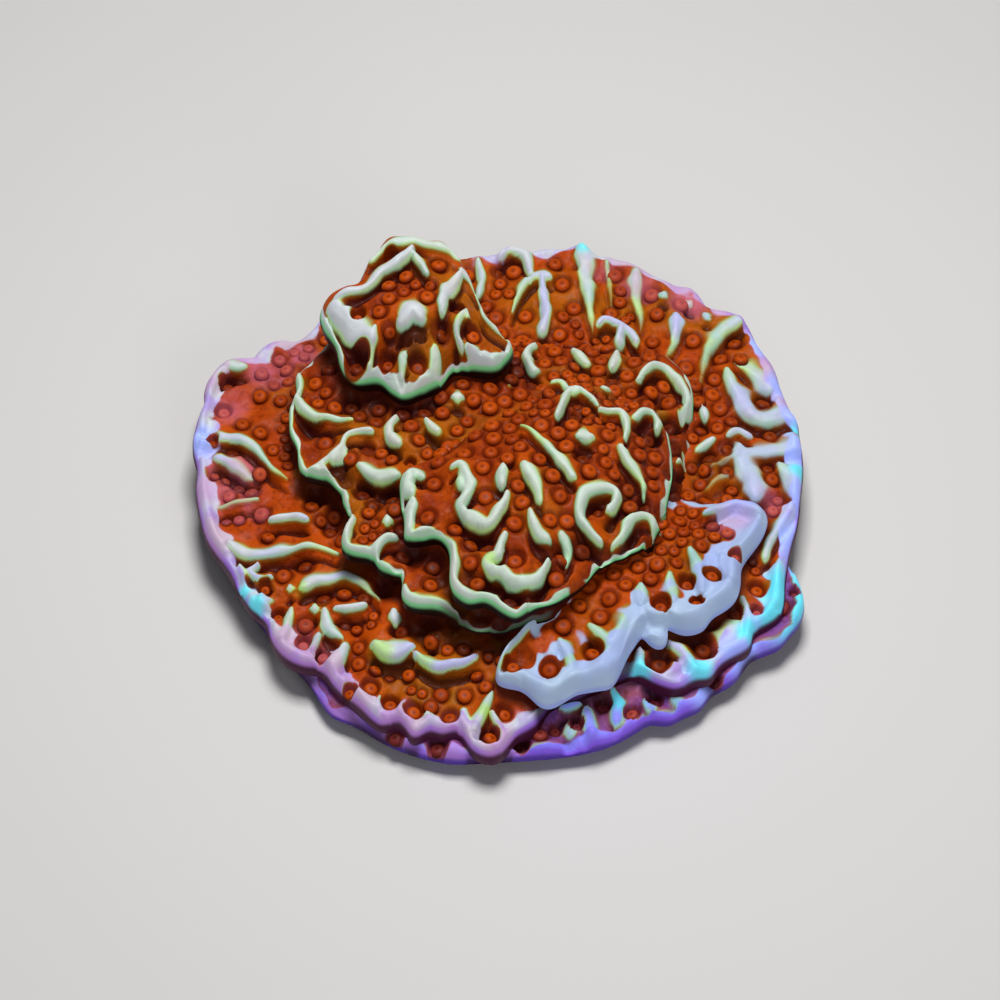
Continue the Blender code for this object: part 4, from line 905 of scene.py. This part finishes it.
    def melted(self, x, y, height):
        """The height let down into the shelf below, along the parts of the rim that merge."""
        if not self.below:
            return height
        share = ease(self.rim.beyond(x, y)[0], *MELT_BAND) * patch_share(self, "melt", x, y)
        sunk = np.minimum(height, self.ground(x, y) - MELT_DEPTH)
        return height + (sunk - height) * share

    def surface(self, x, y):
        """Height of the finished top, with its ridges, pits, bowls and soft lumps."""
        ridge, slope, _ = self.ridge_parts(x, y)
        pit = self.pit_depth(x, y)
        height = self.smooth(x, y) + (ridge ** 3 + slope ** 3) ** (1 / 3)
        height -= PIT_DEPTH * pit * (1 + ridge / RIDGE_HEIGHT)
        broad, fine = SWELL_LENGTHS
        height += SWELL * swell(x, y, broad, LUMP_SEEDS[0])
        height += 0.5 * SWELL * swell(x, y, fine, LUMP_SEEDS[1])
        outside = self.rim.beyond(x, y)[0]
        roll = np.exp(-((outside + ROLL_PLACE) / ROLL_WIDTH) ** 2) * self.emerged(x, y)
        height += RIM_ROLL * roll - CREVICE_DEPTH * self.crevice(x, y)
        height -= DIVE * (1 - self.emerged(x, y))
        height -= HOLLOW_DEPTH * patch_share(self, "hollow", x, y) * (1 - 0.8 * ridge / RIDGE_HEIGHT)
        return self.melted(x, y, height - BOWL_DEPTH * self.bowl(x, y))

    def plan(self, reach, angle):
        """Plan points at a distance and direction from the centre."""
        centre = self.rim.centre
        return centre[0] + reach * np.cos(angle), centre[1] + reach * np.sin(angle)

    def top_points(self, share, angle):
        """Points of the top out to the middle of the edge, and how far each is bent over."""
        radius, _ = self.rim.at(angle)
        half = self.thickness / 2
        arc = share * (radius + (math.pi / 2 - 1) * half)
        bend = np.clip((arc - radius + half) / half, 0, math.pi / 2)
        reach = np.where(bend > 0, radius - half + half * np.sin(bend), arc)
        x, y = self.plan(reach, angle)
        raised = self.surface(x, y) - self.smooth(x, y)
        z = self.smooth(x, y) + raised * np.cos(bend) - half * (1 - np.cos(bend))
        return np.column_stack([x, y, self.melted(x, y, z)]), bend

    def underside_points(self, angle):
        """Rings of the underside, from the edge in to the seat, and the seat's middle."""
        radius, height = self.rim.at(angle)
        half = self.thickness / 2
        seat_reach = (1 - self.tuck) * radius
        rings = []
        for ring in range(1, UNDERSIDE_RINGS + 1):
            bend = math.pi / 2 * max(0.0, 1 - ring / EDGE_RINGS)
            inner = max(0.0, (ring - EDGE_RINGS) / (UNDERSIDE_RINGS - EDGE_RINGS))
            reach = radius - half + half * math.sin(bend)
            reach = reach + (seat_reach - radius + half) * inner
            x, y = self.plan(reach, angle)
            seat = self.ground(x, y)
            lip = height - 2 * half
            hang = np.clip((reach - seat_reach) / (radius - half - seat_reach), 0, 1)
            hang = hang ** UNDERSIDE_CURVE
            z = np.maximum(seat + (lip - seat) * hang, seat - SINK * (len(self.below) > 0))
            if ring == UNDERSIDE_RINGS and self.below:
                z = seat - SINK
            if self.below:
                z = np.minimum(z, self.surface(x, y) - half * (1 - math.cos(bend)) - SINK)
            rings.append(np.column_stack([x, y, z + half * (1 - math.cos(bend))]))
        middle = np.array([[*rings[-1][:, :2].mean(axis=0), rings[-1][:, 2].min()]])
        return np.vstack(rings + [middle])

    def body(self):
        """Vertices and faces of the shelf as one closed body, and how far round the edge
        each vertex is: 0 on top, 1 at the middle of the edge and 2 on the underside."""
        share, angle = disc_grid(self.grid)
        top, bend = self.top_points(share, angle)
        side = self.grid + 1
        index = np.arange(side ** 2).reshape(side, side)
        quads = np.stack([index[:-1, :-1], index[:-1, 1:], index[1:, 1:], index[1:, :-1]], axis=-1)
        faces = quads.reshape(-1, 4).tolist()
        border = np.concatenate([index[0, :-1], index[:-1, -1], index[-1, :0:-1], index[:0:-1, 0]])
        underside = self.underside_points(angle[border])
        count = len(border)
        inner = border
        for ring in range(UNDERSIDE_RINGS):
            outer = inner
            inner = len(top) + ring * count + np.arange(count)
            faces += np.column_stack([
                outer, inner, np.roll(inner, -1), np.roll(outer, -1),
            ]).tolist()
        middle = len(top) + UNDERSIDE_RINGS * count
        faces += [[a, middle, b] for a, b in zip(inner.tolist(), np.roll(inner, -1).tolist())]
        round_edge = np.concatenate([bend / (math.pi / 2), np.full(len(underside), 2.0)])
        return np.vstack([top, underside]), faces, round_edge


def disc_grid(steps):
    """Share of the radius and direction for each point of a square grid laid on a disc."""
    span = np.linspace(-1, 1, steps + 1)
    a, b = np.meshgrid(span, span)
    a, b = a.ravel(), b.ravel()
    wide = np.abs(a) > np.abs(b)
    signed = np.where(wide, a, b)
    divisor = np.where(signed == 0, 1, signed)
    turn = math.pi / 4 * np.where(wide, b, a) / divisor
    turn = np.where(wide, turn, math.pi / 2 - turn)
    return np.abs(signed), np.where(signed < 0, turn + math.pi, turn)


def evened(tries, count):
    """Places spread evenly over the tries, each moved to the middle of those nearest it."""
    places = tries[:count].copy()
    for _ in range(EVENING_ROUNDS):
        away = np.hypot(tries[:, None, 0] - places[:, 0], tries[:, None, 1] - places[:, 1])
        owner = away.argmin(axis=1)
        share = np.maximum(np.bincount(owner, minlength=count), 1)
        for axis in range(2):
            places[:, axis] = np.bincount(owner, tries[:, axis], count) / share
    return places


def patch_share(shelf, kind, x, y):
    """How strongly the patches of a kind cover plan points of a shelf."""
    total = np.zeros_like(x)
    for across, down, radius in PATCHES[kind]:
        place = shelf.laid([(across, down)])[0]
        away = np.hypot(x - place[0], y - place[1]) / (radius * UNIT)
        total = np.maximum(total, 1 - ease(away, *PATCH_FADE))
    return total


def marks(shelf, points, round_edge):
    """What the finish of each vertex depends on, as shares from 0 to 1."""
    x, y, z = points.T
    is_top = round_edge <= 1
    ridge, slope, back = shelf.ridge_parts(x, y)
    ridge = np.where(is_top, ridge / RIDGE_HEIGHT, 0)
    pit = np.where(is_top, shelf.pit_mark(x, y), 0)
    outside = shelf.rim.beyond(x, y)[0]
    shade = np.zeros_like(x)
    for rim in shelf.above:
        gap, above_height = rim.beyond(x, y)
        ledge = ease(above_height - z, *SHADE_DROP)
        shade = np.maximum(shade, ledge * (1 - ease(gap, SHADE_START, SHADE_REACH[shelf.name])))
    result = {
        "ridge": ridge * (1 - pit),
        "back": back,
        "slope": np.where(is_top, slope / (SLOPE_SHARE * RIDGE_HEIGHT), 0),
        "pit": pit,
        "lip": shelf.pale_rim(x, y),
        "outer": ease(outside, *OUTER_BAND),
        "inner": np.where(is_top, 0, ease(-outside, *INNER_BAND)),
        "hollow": np.where(is_top, patch_share(shelf, "hollow", x, y), 0),
        "shade": shade,
        "crevice": np.where(is_top, shelf.crevice(x, y), 0),
        "under": ease(round_edge, *UNDER_EDGE[shelf.name]) * (1 - patch_share(shelf, "melt", x, y)),
        "bowl": np.where(is_top, shelf.bowl(x, y), 0),
    }
    for kind in ("rose", "pink", "blue", "green", "cyan"):
        result[kind] = patch_share(shelf, kind, x, y)
    return result


def write_marks(mesh, shares):
    """Keep the marks of each vertex as attributes of a mesh."""
    for name, values in shares.items():
        attribute = mesh.attributes.new(name, "FLOAT", "POINT")
        attribute.data.foreach_set("value", np.asarray(values, np.float32))


def add_shelf(shelf, material):
    """Make the fine mesh of one shelf in place of its plain solid."""
    points, faces, round_edge = shelf.body()
    mesh = bpy.data.meshes.new(shelf.name + "_tissue")
    mesh.from_pydata((points * MM).tolist(), [], faces)
    write_marks(mesh, marks(shelf, points, round_edge))
    mesh.materials.append(material)
    mesh.shade_smooth()
    piece = bpy.data.objects.new(shelf.name + "_tissue", mesh)
    bpy.context.collection.objects.link(piece)
    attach(piece, "root")
    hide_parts(shelf.name)
    return piece


class Wire:
    """A socket that sums, products and comparisons can be written with."""

    def __init__(self, tree, socket):
        """Hold a socket and the tree that it is in."""
        self.tree = tree
        self.socket = socket

    def math(self, operation, *others, clamp=False):
        """Add a Math node that takes this socket and the others in turn."""
        return self.tree.node("ShaderNodeMath", {"operation": operation, "use_clamp": clamp},
                              [self, *others])

    def __add__(self, other):
        return self.math("ADD", other)

    def __sub__(self, other):
        return self.math("SUBTRACT", other)

    def __rsub__(self, other):
        return self.tree.node("ShaderNodeMath", {"operation": "SUBTRACT"}, [other, self])

    def __mul__(self, other):
        return self.math("MULTIPLY", other)

    def __pow__(self, other):
        return self.math("POWER", other)

    __radd__ = __add__
    __rmul__ = __mul__

    def clamped(self):
        """The value kept between 0 and 1."""
        return self.math("ADD", 0.0, clamp=True)

    def ease(self, low, high):
        """A smooth step from 0 at low to 1 at high."""
        return self.tree.node("ShaderNodeMapRange", {"interpolation_type": "SMOOTHSTEP"},
                              {"Value": self, "From Min": low, "From Max": high})

    def larger(self, other):
        """The larger of two values."""
        return self.math("MAXIMUM", other)


class Tree:
    """A node tree whose nodes are added by type, settings and sockets."""

    def __init__(self, tree):
        """Start from the tree as it is."""
        self.tree = tree

    def node(self, kind, settings=None, sockets=None, output=0):
        """Add a node, set it up, fill or link its sockets, and give one output."""
        made = self.tree.nodes.new(kind)
        for name, value in (settings or {}).items():
            setattr(made, name, value)
        pairs = enumerate(sockets) if isinstance(sockets, list) else (sockets or {}).items()
        for key, value in pairs:
            self.fill(made.inputs[key], value)
        return Wire(self, made.outputs[output])

    def fill(self, socket, value):
        """Link a wire to a socket, or set the socket's own value."""
        if isinstance(value, Wire):
            self.tree.links.new(value.socket, socket)
        else:
            socket.default_value = value

    def mix(self, factor, first, second):
        """Blend two colours, each a wire or three numbers."""
        made = self.tree.nodes.new("ShaderNodeMix")
        made.data_type = "RGBA"
        self.fill(made.inputs["Factor"], factor)
        for socket, colour in ((made.inputs[6], first), (made.inputs[7], second)):
            self.fill(socket, colour if isinstance(colour, Wire) else (*colour, 1.0))
        return Wire(self, made.outputs[2])

    def mark(self, name):
        """A share kept on the mesh."""
        return self.node("ShaderNodeAttribute", {"attribute_name": name}, output="Fac")

    def noise(self, place, size_mm, detail=2.0, seed=0.0):
        """Noise whose blotches are about the given size in millimetres."""
        return self.node("ShaderNodeTexNoise", {"noise_dimensions": "4D"}, {
            "Vector": place, "W": seed, "Scale": 1 / (size_mm * MM), "Detail": detail,
        }, "Fac")


# Strength of the painted glow, which stands in for the tissue's fluorescence and flattens the
# shading of the pale ridges and rims, and the share of it that dark tissue has
PAINTED_GLOW = 0.42
TISSUE_GLOW_SHARE = 0.35

# Linear colours of the tissue between the ridges
ORANGE_DEEP = (0.095, 0.008, 0.001)
ORANGE = (0.330, 0.036, 0.001)
ORANGE_LIGHT = (0.520, 0.082, 0.001)
RUST = (0.225, 0.023, 0.001)
AMBER = (0.300, 0.110, 0.002)
OLIVE = (0.240, 0.150, 0.010)
ROSE = (0.480, 0.110, 0.170)
PLUM = (0.130, 0.014, 0.080)
HEATHER = (0.160, 0.060, 0.280)

# Linear colours of ridges and rims
ICE = (0.400, 0.480, 0.420)
FROST = (0.420, 0.450, 0.480)
CREAM = (0.440, 0.440, 0.420)
SHELL = (0.300, 0.390, 0.520)
HAZE = (0.240, 0.300, 0.560)
LILAC = (0.320, 0.320, 0.620)
PINK = (0.420, 0.200, 0.340)
MAUVE = (0.300, 0.140, 0.560)
MINT = (0.160, 0.480, 0.210)
LIME = (0.300, 0.560, 0.050)
CYAN = (0.080, 0.620, 0.700)
SKY = (0.270, 0.360, 0.860)
BLUE = (0.180, 0.200, 0.740)
VIOLET = (0.180, 0.080, 0.600)
INDIGO = (0.070, 0.030, 0.360)

# Linear colours of painted shade in crevices, hollows, under the shelves above and on the
# undersides, and of the undersides farther in
MAROON = (0.018, 0.001, 0.002)
PITCH = (0.004, 0.001, 0.001)
SHADOW = (0.040, 0.006, 0.024)
DUSK = (0.050, 0.018, 0.220)
FAR_UNDERSIDE = (0.060, 0.025, 0.030)

# Finish of each shelf: its slot, the colours of its tissue, ridge tops, the blush on them,
# rim and underside, the last painted shade on all but the front shelf, and how much pink
# and violet shows at the very edge
FINISHES = {
    "base_plate": ("violet_tissue", HEATHER, BLUE, MAUVE, VIOLET, DUSK, 0.45),
    "main_plate": ("orange_tissue", ORANGE, FROST, LILAC, MAUVE, SHADOW, 0.25),
    "front_shelf": ("lilac_tissue", ORANGE, SHELL, HAZE, HAZE, HAZE, 0.0),
    "middle_tier": ("orange_tissue", RUST, ICE, CREAM, MINT, PITCH, 0.0),
    "crown": ("orange_tissue", RUST, ICE, CREAM, MINT, PITCH, 0.0),
    "knoll": ("orange_tissue", RUST, FROST, CREAM, MINT, PITCH, 0.0),
}


def new_material(name):
    """An empty material with its shader, and the tree to build it in."""
    material = bpy.data.materials.new(name)
    material.use_nodes = True
    return material, Tree(material.node_tree), material.node_tree.nodes["Principled BSDF"]


def wet_film_and_glow(shader):
    """The thin wet film that tissue and polyps share, and the strength of their painted glow."""
    shader.inputs["Emission Strength"].default_value = PAINTED_GLOW
    shader.inputs["Coat Weight"].default_value = 0.02
    shader.inputs["Coat Roughness"].default_value = 0.25
    shader.inputs["Specular IOR Level"].default_value = 0.10


def tissue_marks(paint):
    """The shares kept on a shelf's mesh and blotches of three sizes, each by its name."""
    names = ("ridge", "lip", "shade", "bowl", "pit", "under", "rose", "green", "cyan", "pink",
             "blue", "crevice", "outer", "inner", "hollow", "back", "slope")
    at = SimpleNamespace(**{name: paint.mark(name) for name in names})
    at.place = paint.node("ShaderNodeTexCoord", output="Object")
    at.broad = paint.noise(at.place, 9.0, 1.0, 1.0)
    at.medium = paint.noise(at.place, 2.6, 2.0, 2.0)
    at.fine = paint.noise(at.place, 0.55, 2.0, 3.0)
    at.rose = at.rose * (at.medium + at.broad).ease(0.75, 1.15)
    return at


def ground_colour(paint, at, tissue, edge_violet):
    """Orange tissue, lighter up the slopes, with painted shade in the bowls, pits, crevices and
    hollows.
    """
    colour = paint.mix(at.medium.ease(0.35, 0.7), tissue, paint.mix(0.45, tissue, ORANGE_LIGHT))
    colour = paint.mix(at.fine.ease(0.45, 0.75) * 0.6, colour, ORANGE_DEEP)
    colour = paint.mix(at.slope.ease(0.3, 0.8) * (1 - at.crevice) * 0.5, colour, ORANGE_LIGHT)
    colour = paint.mix(at.ridge.ease(0.14, 0.34) * (1 - at.crevice) * 0.5, colour, OLIVE)
    colour = paint.mix((at.broad.ease(0.45, 0.7) * 0.5).larger(at.green * 0.75), colour, AMBER)
    # Painted shade in the bowl round each polyp
    colour = paint.mix(at.bowl * 0.8, colour, ORANGE_DEEP)
    colour = paint.mix((at.rose * 0.8).larger(at.lip * edge_violet).clamped(), colour, ROSE)
    # Painted shade in the pits, in the crevices before the ridges and in the hollows
    colour = paint.mix(at.pit * 0.5, colour, ORANGE_DEEP)
    colour = paint.mix((at.crevice * 1.5).clamped() * 0.85, colour, MAROON)
    return paint.mix(at.hollow * 0.6, colour, MAROON)


def crest_colour(paint, at, pale, core):
    """Pale ridge tops with green margins, tinted in patches."""
    margin = paint.mix(0.65, pale, paint.mix(at.medium.ease(0.4, 0.6), MINT, LIME))
    colour = paint.mix(at.ridge.ease(0.50, 0.92), margin, core)
    colour = paint.mix(at.rose * 0.5, colour, PINK)
    colour = paint.mix(at.blue * 0.55, colour, LILAC)
    colour = paint.mix(at.green * 0.6, colour, LIME)
    colour = paint.mix(at.cyan * 0.8, colour, CYAN)
    return paint.mix(at.fine.ease(0.4, 0.8) * 0.25, colour, paint.mix(0.5, colour, OLIVE))


def edge_colour(paint, at, core, rim, edge_violet):
    """The rim: a pale core with a coloured fringe, and pink to cyan stretches."""
    fringe = at.under.ease(0.0, 0.4).larger(at.medium.ease(0.4, 0.7) * (0.35 + edge_violet))
    colour = paint.mix(fringe, core, rim)
    colour = paint.mix(at.broad.ease(0.5, 0.7) * edge_violet, colour, PINK)
    colour = paint.mix(at.outer.ease(0.5, 1.0) * edge_violet, colour, VIOLET)
    colour = paint.mix(at.medium.ease(0.5, 0.65) * edge_violet * 0.5, colour, INDIGO)
    colour = paint.mix(at.pink * 0.5, colour, PINK)
    colour = paint.mix(at.blue * 0.8, colour, SKY)
    return paint.mix(at.cyan * 0.85, colour, CYAN)


def tissue_relief(paint, at, smooth):
    """Fine grain and small bumps, which fade out on the smooth ridges."""
    grain = paint.noise(at.place, 0.32, 3.0, 5.0)
    bumps = paint.node("ShaderNodeTexVoronoi", {"feature": "F1"},
                       {"Vector": at.place, "Scale": 1 / (0.45 * MM)}, "Distance")
    relief = (1 - bumps) * (1 - smooth) * 0.8 + grain * (0.35 - smooth * 0.2)
    return paint.node("ShaderNodeBump", None,
                      {"Strength": 0.45, "Distance": 0.12 * MM, "Height": relief})


def tissue_material(name, tissue, pale, blush, rim, below, edge_violet):
    """Moist coral tissue: dark orange ground, pale smooth ridges and a tinted rim, with painted
    shade and a painted glow.
    """
    material, paint, shader = new_material(name)
    at = tissue_marks(paint)
    core = paint.mix(at.broad.ease(0.42, 0.7) * 0.7, pale, blush)
    paleness = (at.ridge + (at.fine - 0.5) * 0.12).ease(0.34 - at.back * 0.2, 0.62 + at.back * 0.25)
    open_lip = at.lip * (1 - at.pit) * (1 - at.bowl * 0.7)
    open_lip = (open_lip + (at.medium - 0.5) * (0.4 + at.rose * 2.0)).ease(0.4, 0.75)

    colour = ground_colour(paint, at, tissue, edge_violet)
    colour = paint.mix(paleness, colour, crest_colour(paint, at, pale, core))
    colour = paint.mix(open_lip, colour, edge_colour(paint, at, core, rim, edge_violet))
    # Painted shade on the underside, except on the front shelf, then the dark brown farther in under
    # it and the painted shadow of the shelves above
    colour = paint.mix(at.under.ease(0.4, 0.9), colour, below)
    colour = paint.mix(at.inner, colour, FAR_UNDERSIDE)
    colour = paint.mix(at.shade * 0.75, colour, MAROON)
    paint.fill(shader.inputs["Base Color"], colour)
    # Painted glow: strongest on the pale ridges and rims, weaker on the tissue and in the painted
    # shadow of the shelves above
    painted_glow = paleness.larger(open_lip) * (1 - at.shade) * (1 - TISSUE_GLOW_SHARE)
    painted_glow = paint.mix(painted_glow + TISSUE_GLOW_SHARE, (0, 0, 0), colour)
    paint.fill(shader.inputs["Emission Color"], painted_glow)

    smooth = at.ridge.ease(0.2, 0.5)
    paint.fill(shader.inputs["Roughness"], 0.52 - smooth * 0.12 + (at.fine - 0.5) * 0.15)
    paint.fill(shader.inputs["Normal"], tissue_relief(paint, at, smooth))
    wet_film_and_glow(shader)
    return material


def polyp_material(name, body):
    """A polyp: a dome with painted shade darkening it towards the hem, a dark mouth, and a
    painted glow.
    """
    material, paint, shader = new_material(name)
    place = paint.node("ShaderNodeTexCoord", output="Object")
    dome = paint.mark("dome")
    medium = paint.noise(place, 1.3, 1.0, 7.0)
    fine = paint.noise(place, 0.3, 2.0, 8.0)
    tone = (paint.mark("tone") * 0.7 + medium * 0.4).clamped()
    colour = paint.mix(tone, paint.mix(0.35, body, ORANGE_DEEP), paint.mix(0.6, body, ORANGE_LIGHT))
    # Painted shade, darker down the dome towards its hem
    colour = paint.mix(1 - dome.ease(0.0, 0.9), colour, ORANGE_DEEP)
    colour = paint.mix(paint.mark("mouth") * 0.8, colour, ORANGE_DEEP)
    colour = paint.mix(paint.mark("rose") * 0.4, colour, ROSE)
    colour = paint.mix(paint.mark("shade") * 0.8, colour, MAROON)
    paint.fill(shader.inputs["Base Color"], colour)
    # Painted glow, at the share that dark tissue has
    paint.fill(shader.inputs["Emission Color"], paint.mix(TISSUE_GLOW_SHARE, (0, 0, 0), colour))
    paint.fill(shader.inputs["Roughness"], 0.38 + fine * 0.2)
    wet_film_and_glow(shader)
    return material


def polyp_inputs(group):
    """Give the polyps' tree its named inputs and its output."""
    inputs = {
        "Geometry": ("NodeSocketGeometry", None),
        "Radius": ("NodeSocketFloat", POLYP_RADIUS * MM),
        "Dome Height": ("NodeSocketFloat", DOME_HEIGHT),
        "Mouth Depth": ("NodeSocketFloat", MOUTH_DEPTH),
        "Seed": ("NodeSocketInt", RANDOM_SEED),
        "Material": ("NodeSocketMaterial", None),
    }
    for name, (kind, value) in inputs.items():
        socket = group.interface.new_socket(name, in_out="INPUT", socket_type=kind)
        if value is not None:
            socket.default_value = value
    group.interface.new_socket("Geometry", in_out="OUTPUT", socket_type="NodeSocketGeometry")


def dimpled_dome(grow, given):
    """One polyp of radius 1, with its height and its mouth kept on its mesh."""
    ball = grow.node("GeometryNodeMeshUVSphere", None, {"Segments": 11, "Rings": 7, "Radius": 1.0},
                     "Mesh")
    position = grow.node("GeometryNodeInputPosition")
    split = grow.tree.nodes.new("ShaderNodeSeparateXYZ")
    grow.fill(split.inputs[0], position)
    x, y, z = (Wire(grow, split.outputs[axis]) for axis in range(3))
    across = (x * x + y * y) ** 0.5
    mouth = 1 - across.ease(0.0, MOUTH_RADIUS)
    up = z.ease(-0.1, 0.1)
    height = z * given["Dome Height"] - mouth * up * given["Mouth Depth"]
    shaped = grow.node("ShaderNodeCombineXYZ", None, [x, y, height])
    ball = grow.node("GeometryNodeStoreNamedAttribute", {"data_type": "FLOAT", "domain": "POINT"},
                     {"Geometry": ball, "Name": "dome", "Value": z})
    ball = grow.node("GeometryNodeStoreNamedAttribute", {"data_type": "FLOAT", "domain": "POINT"},
                     {"Geometry": ball, "Name": "mouth", "Value": mouth * up})
    return grow.node("GeometryNodeSetPosition", None, {"Geometry": ball, "Position": shaped})


def polyp_tree():
    """The node tree that sets a small dimpled dome on every point of a mesh."""
    group = bpy.data.node_groups.new("polyps on tissue", "GeometryNodeTree")
    polyp_inputs(group)
    grow = Tree(group)
    entry = group.nodes.new("NodeGroupInput")
    given = {socket.name: Wire(grow, socket) for socket in entry.outputs if socket.name}
    facing = grow.node("GeometryNodeInputNamedAttribute", {"data_type": "FLOAT_VECTOR"},
                       {"Name": "facing"}, "Attribute")
    size = grow.node("GeometryNodeInputNamedAttribute", {"data_type": "FLOAT"}, {"Name": "size"},
                     "Attribute")
    lean = grow.node("FunctionNodeRandomValue", {"data_type": "FLOAT_VECTOR"}, {
        "Min": (-POLYP_LEAN, -POLYP_LEAN, 0.0), "Max": (POLYP_LEAN, POLYP_LEAN, 0.0),
        "Seed": given["Seed"],
    }, "Value")
    aim = grow.node("ShaderNodeVectorMath", {"operation": "ADD"}, [facing, lean])
    turned = grow.node("FunctionNodeAlignRotationToVector", {"axis": "Z"}, {"Vector": aim})
    placed = grow.node("GeometryNodeInstanceOnPoints", None, {
        "Points": given["Geometry"], "Instance": dimpled_dome(grow, given), "Rotation": turned,
        "Scale": size * given["Radius"],
    })
    joined = grow.node("GeometryNodeRealizeInstances", None, {"Geometry": placed})
    joined = grow.node("GeometryNodeSetShadeSmooth", None, {"Geometry": joined})
    joined = grow.node("GeometryNodeSetMaterial", None,
                       {"Geometry": joined, "Material": given["Material"]})
    grow.fill(group.nodes.new("NodeGroupOutput").inputs["Geometry"], joined)
    return group


def polyp_places(shelf):
    """A mesh of loose points: the polyps' places, sizes, tones and which way they face."""
    x, y, size = shelf.polyps.T
    step = SLOPE_STEP
    z = shelf.surface(x, y)
    slope_x = (shelf.surface(x + step, y) - shelf.surface(x - step, y)) / (2 * step)
    slope_y = (shelf.surface(x, y + step) - shelf.surface(x, y - step)) / (2 * step)
    facing = np.column_stack([-POLYP_TILT * slope_x, -POLYP_TILT * slope_y, np.ones_like(x)])
    facing /= np.linalg.norm(facing, axis=1)[:, None]
    points = np.column_stack([x, y, z])
    seeds = bpy.data.meshes.new(shelf.name + "_polyp_places")
    seeds.from_pydata((points * MM).tolist(), [], [])
    shares = marks(shelf, points, np.zeros(len(points)))
    write_marks(seeds, {
        "size": size / POLYP_RADIUS,
        "shade": np.maximum.reduce([shares["shade"], shares["crevice"], 0.85 * shares["hollow"]]),
        "rose": shares["rose"],
        "tone": np.random.default_rng(RANDOM_SEED).uniform(0, 1, len(points)),
    })
    seeds.attributes.new("facing", "FLOAT_VECTOR", "POINT").data.foreach_set("vector", facing.ravel())
    return seeds


def grown(seeds, tree, material):
    """One plain mesh of the polyps that the tree grows on the places."""
    holder = bpy.data.objects.new(seeds.name, seeds)
    bpy.context.collection.objects.link(holder)
    modifier = holder.modifiers.new("polyps", "NODES")
    modifier.node_group = tree
    for item in tree.interface.items_tree:
        if item.name == "Material":
            modifier[item.identifier] = material
    graph = bpy.context.evaluated_depsgraph_get()
    mesh = bpy.data.meshes.new_from_object(holder.evaluated_get(graph))
    holder.modifiers.clear()
    bpy.data.objects.remove(holder, do_unlink=True)
    return mesh


def add_polyps(shelf, tree, material):
    """Set the polyps of one shelf on its surface."""
    mesh = grown(polyp_places(shelf), tree, material)
    mesh.name = shelf.name + "_polyps"
    piece = bpy.data.objects.new(shelf.name + "_polyps", mesh)
    bpy.context.collection.objects.link(piece)
    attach(piece, "root")
    return piece


# The floor: half its width in metres and its colour, and where the lights aim, in
# millimetres
FLOOR_HALF = 0.6
FLOOR_GREY = (0.62, 0.61, 0.60, 1)
LIGHT_AIM = (0, 0, 8)


def add_floor():
    """A plain pale floor."""
    half = FLOOR_HALF
    mesh = bpy.data.meshes.new("floor")
    mesh.from_pydata([(-half, -half, 0), (half, -half, 0), (half, half, 0), (-half, half, 0)], [],
                     [(0, 1, 2, 3)])
    floor = bpy.data.objects.new("floor", mesh)
    bpy.context.collection.objects.link(floor)
    material, _, shader = new_material("pale floor")
    shader.inputs["Base Color"].default_value = FLOOR_GREY
    shader.inputs["Roughness"].default_value = 0.7
    mesh.materials.append(material)


def add_light(name, place, size, power, colour):
    """A soft square light that faces the colony; its place is in millimetres."""
    lamp = bpy.data.lights.new(name, "AREA")
    lamp.size = size * MM
    lamp.energy = power
    lamp.color = colour
    light = bpy.data.objects.new(name, lamp)
    light.location = Vector(place) * MM
    aim = Vector(LIGHT_AIM) - Vector(place)
    light.rotation_euler = aim.to_track_quat("-Z", "Y").to_euler()
    bpy.context.collection.objects.link(light)


def add_studio():
    """Soft plain light from above and a little from the front."""
    add_light("top light", (5, 36, 280), 90, 0.80, (1.0, 0.99, 0.98))
    add_light("front light", (100, -260, 200), 160, 0.2, (0.96, 0.97, 1.0))
    world = bpy.data.worlds.new("studio")
    world.use_nodes = True
    world.node_tree.nodes["Background"].inputs["Color"].default_value = (0.9, 0.92, 1.0, 1)
    world.node_tree.nodes["Background"].inputs["Strength"].default_value = 0.10
    bpy.context.scene.world = world
    bpy.context.scene.view_settings.view_transform = "Standard"


def add_camera():
    """The photograph's view: from the front, well above, with a long lens."""
    camera = bpy.data.cameras.new("camera")
    camera.sensor_width = 36.0
    camera.lens = camera.sensor_width * VIEW_DISTANCE / (PICTURE_SIZE * UNIT)
    camera.clip_start = 0.01
    camera.clip_end = 10.0
    holder = bpy.data.objects.new("camera", camera)
    back = Vector((0, -math.cos(VIEW_ELEVATION), math.sin(VIEW_ELEVATION))) * VIEW_DISTANCE
    holder.location = (Vector(VIEW_TARGET) + back) * MM
    holder.rotation_euler = (math.pi / 2 - VIEW_ELEVATION, 0, 0)
    bpy.context.collection.objects.link(holder)
    bpy.context.scene.camera = holder


def add_colony():
    """All shelves, each with its polyps, from the lowest up."""
    tree = polyp_tree()
    shelves = {}
    for name, below in BELOW.items():
        above = [Rim(upper) for upper, lower in BELOW.items() if name in lower]
        shelf = Shelf(name, [shelves[lower] for lower in below], above)
        shelves[name] = shelf
        slot, *look = FINISHES[name]
        add_shelf(shelf, tissue_material(name + " tissue", *look))
        body = PLUM if name == "base_plate" else ORANGE
        add_polyps(shelf, tree, polyp_material(name + " polyps", body))


add_camera()
add_studio()
add_floor()
add_colony()
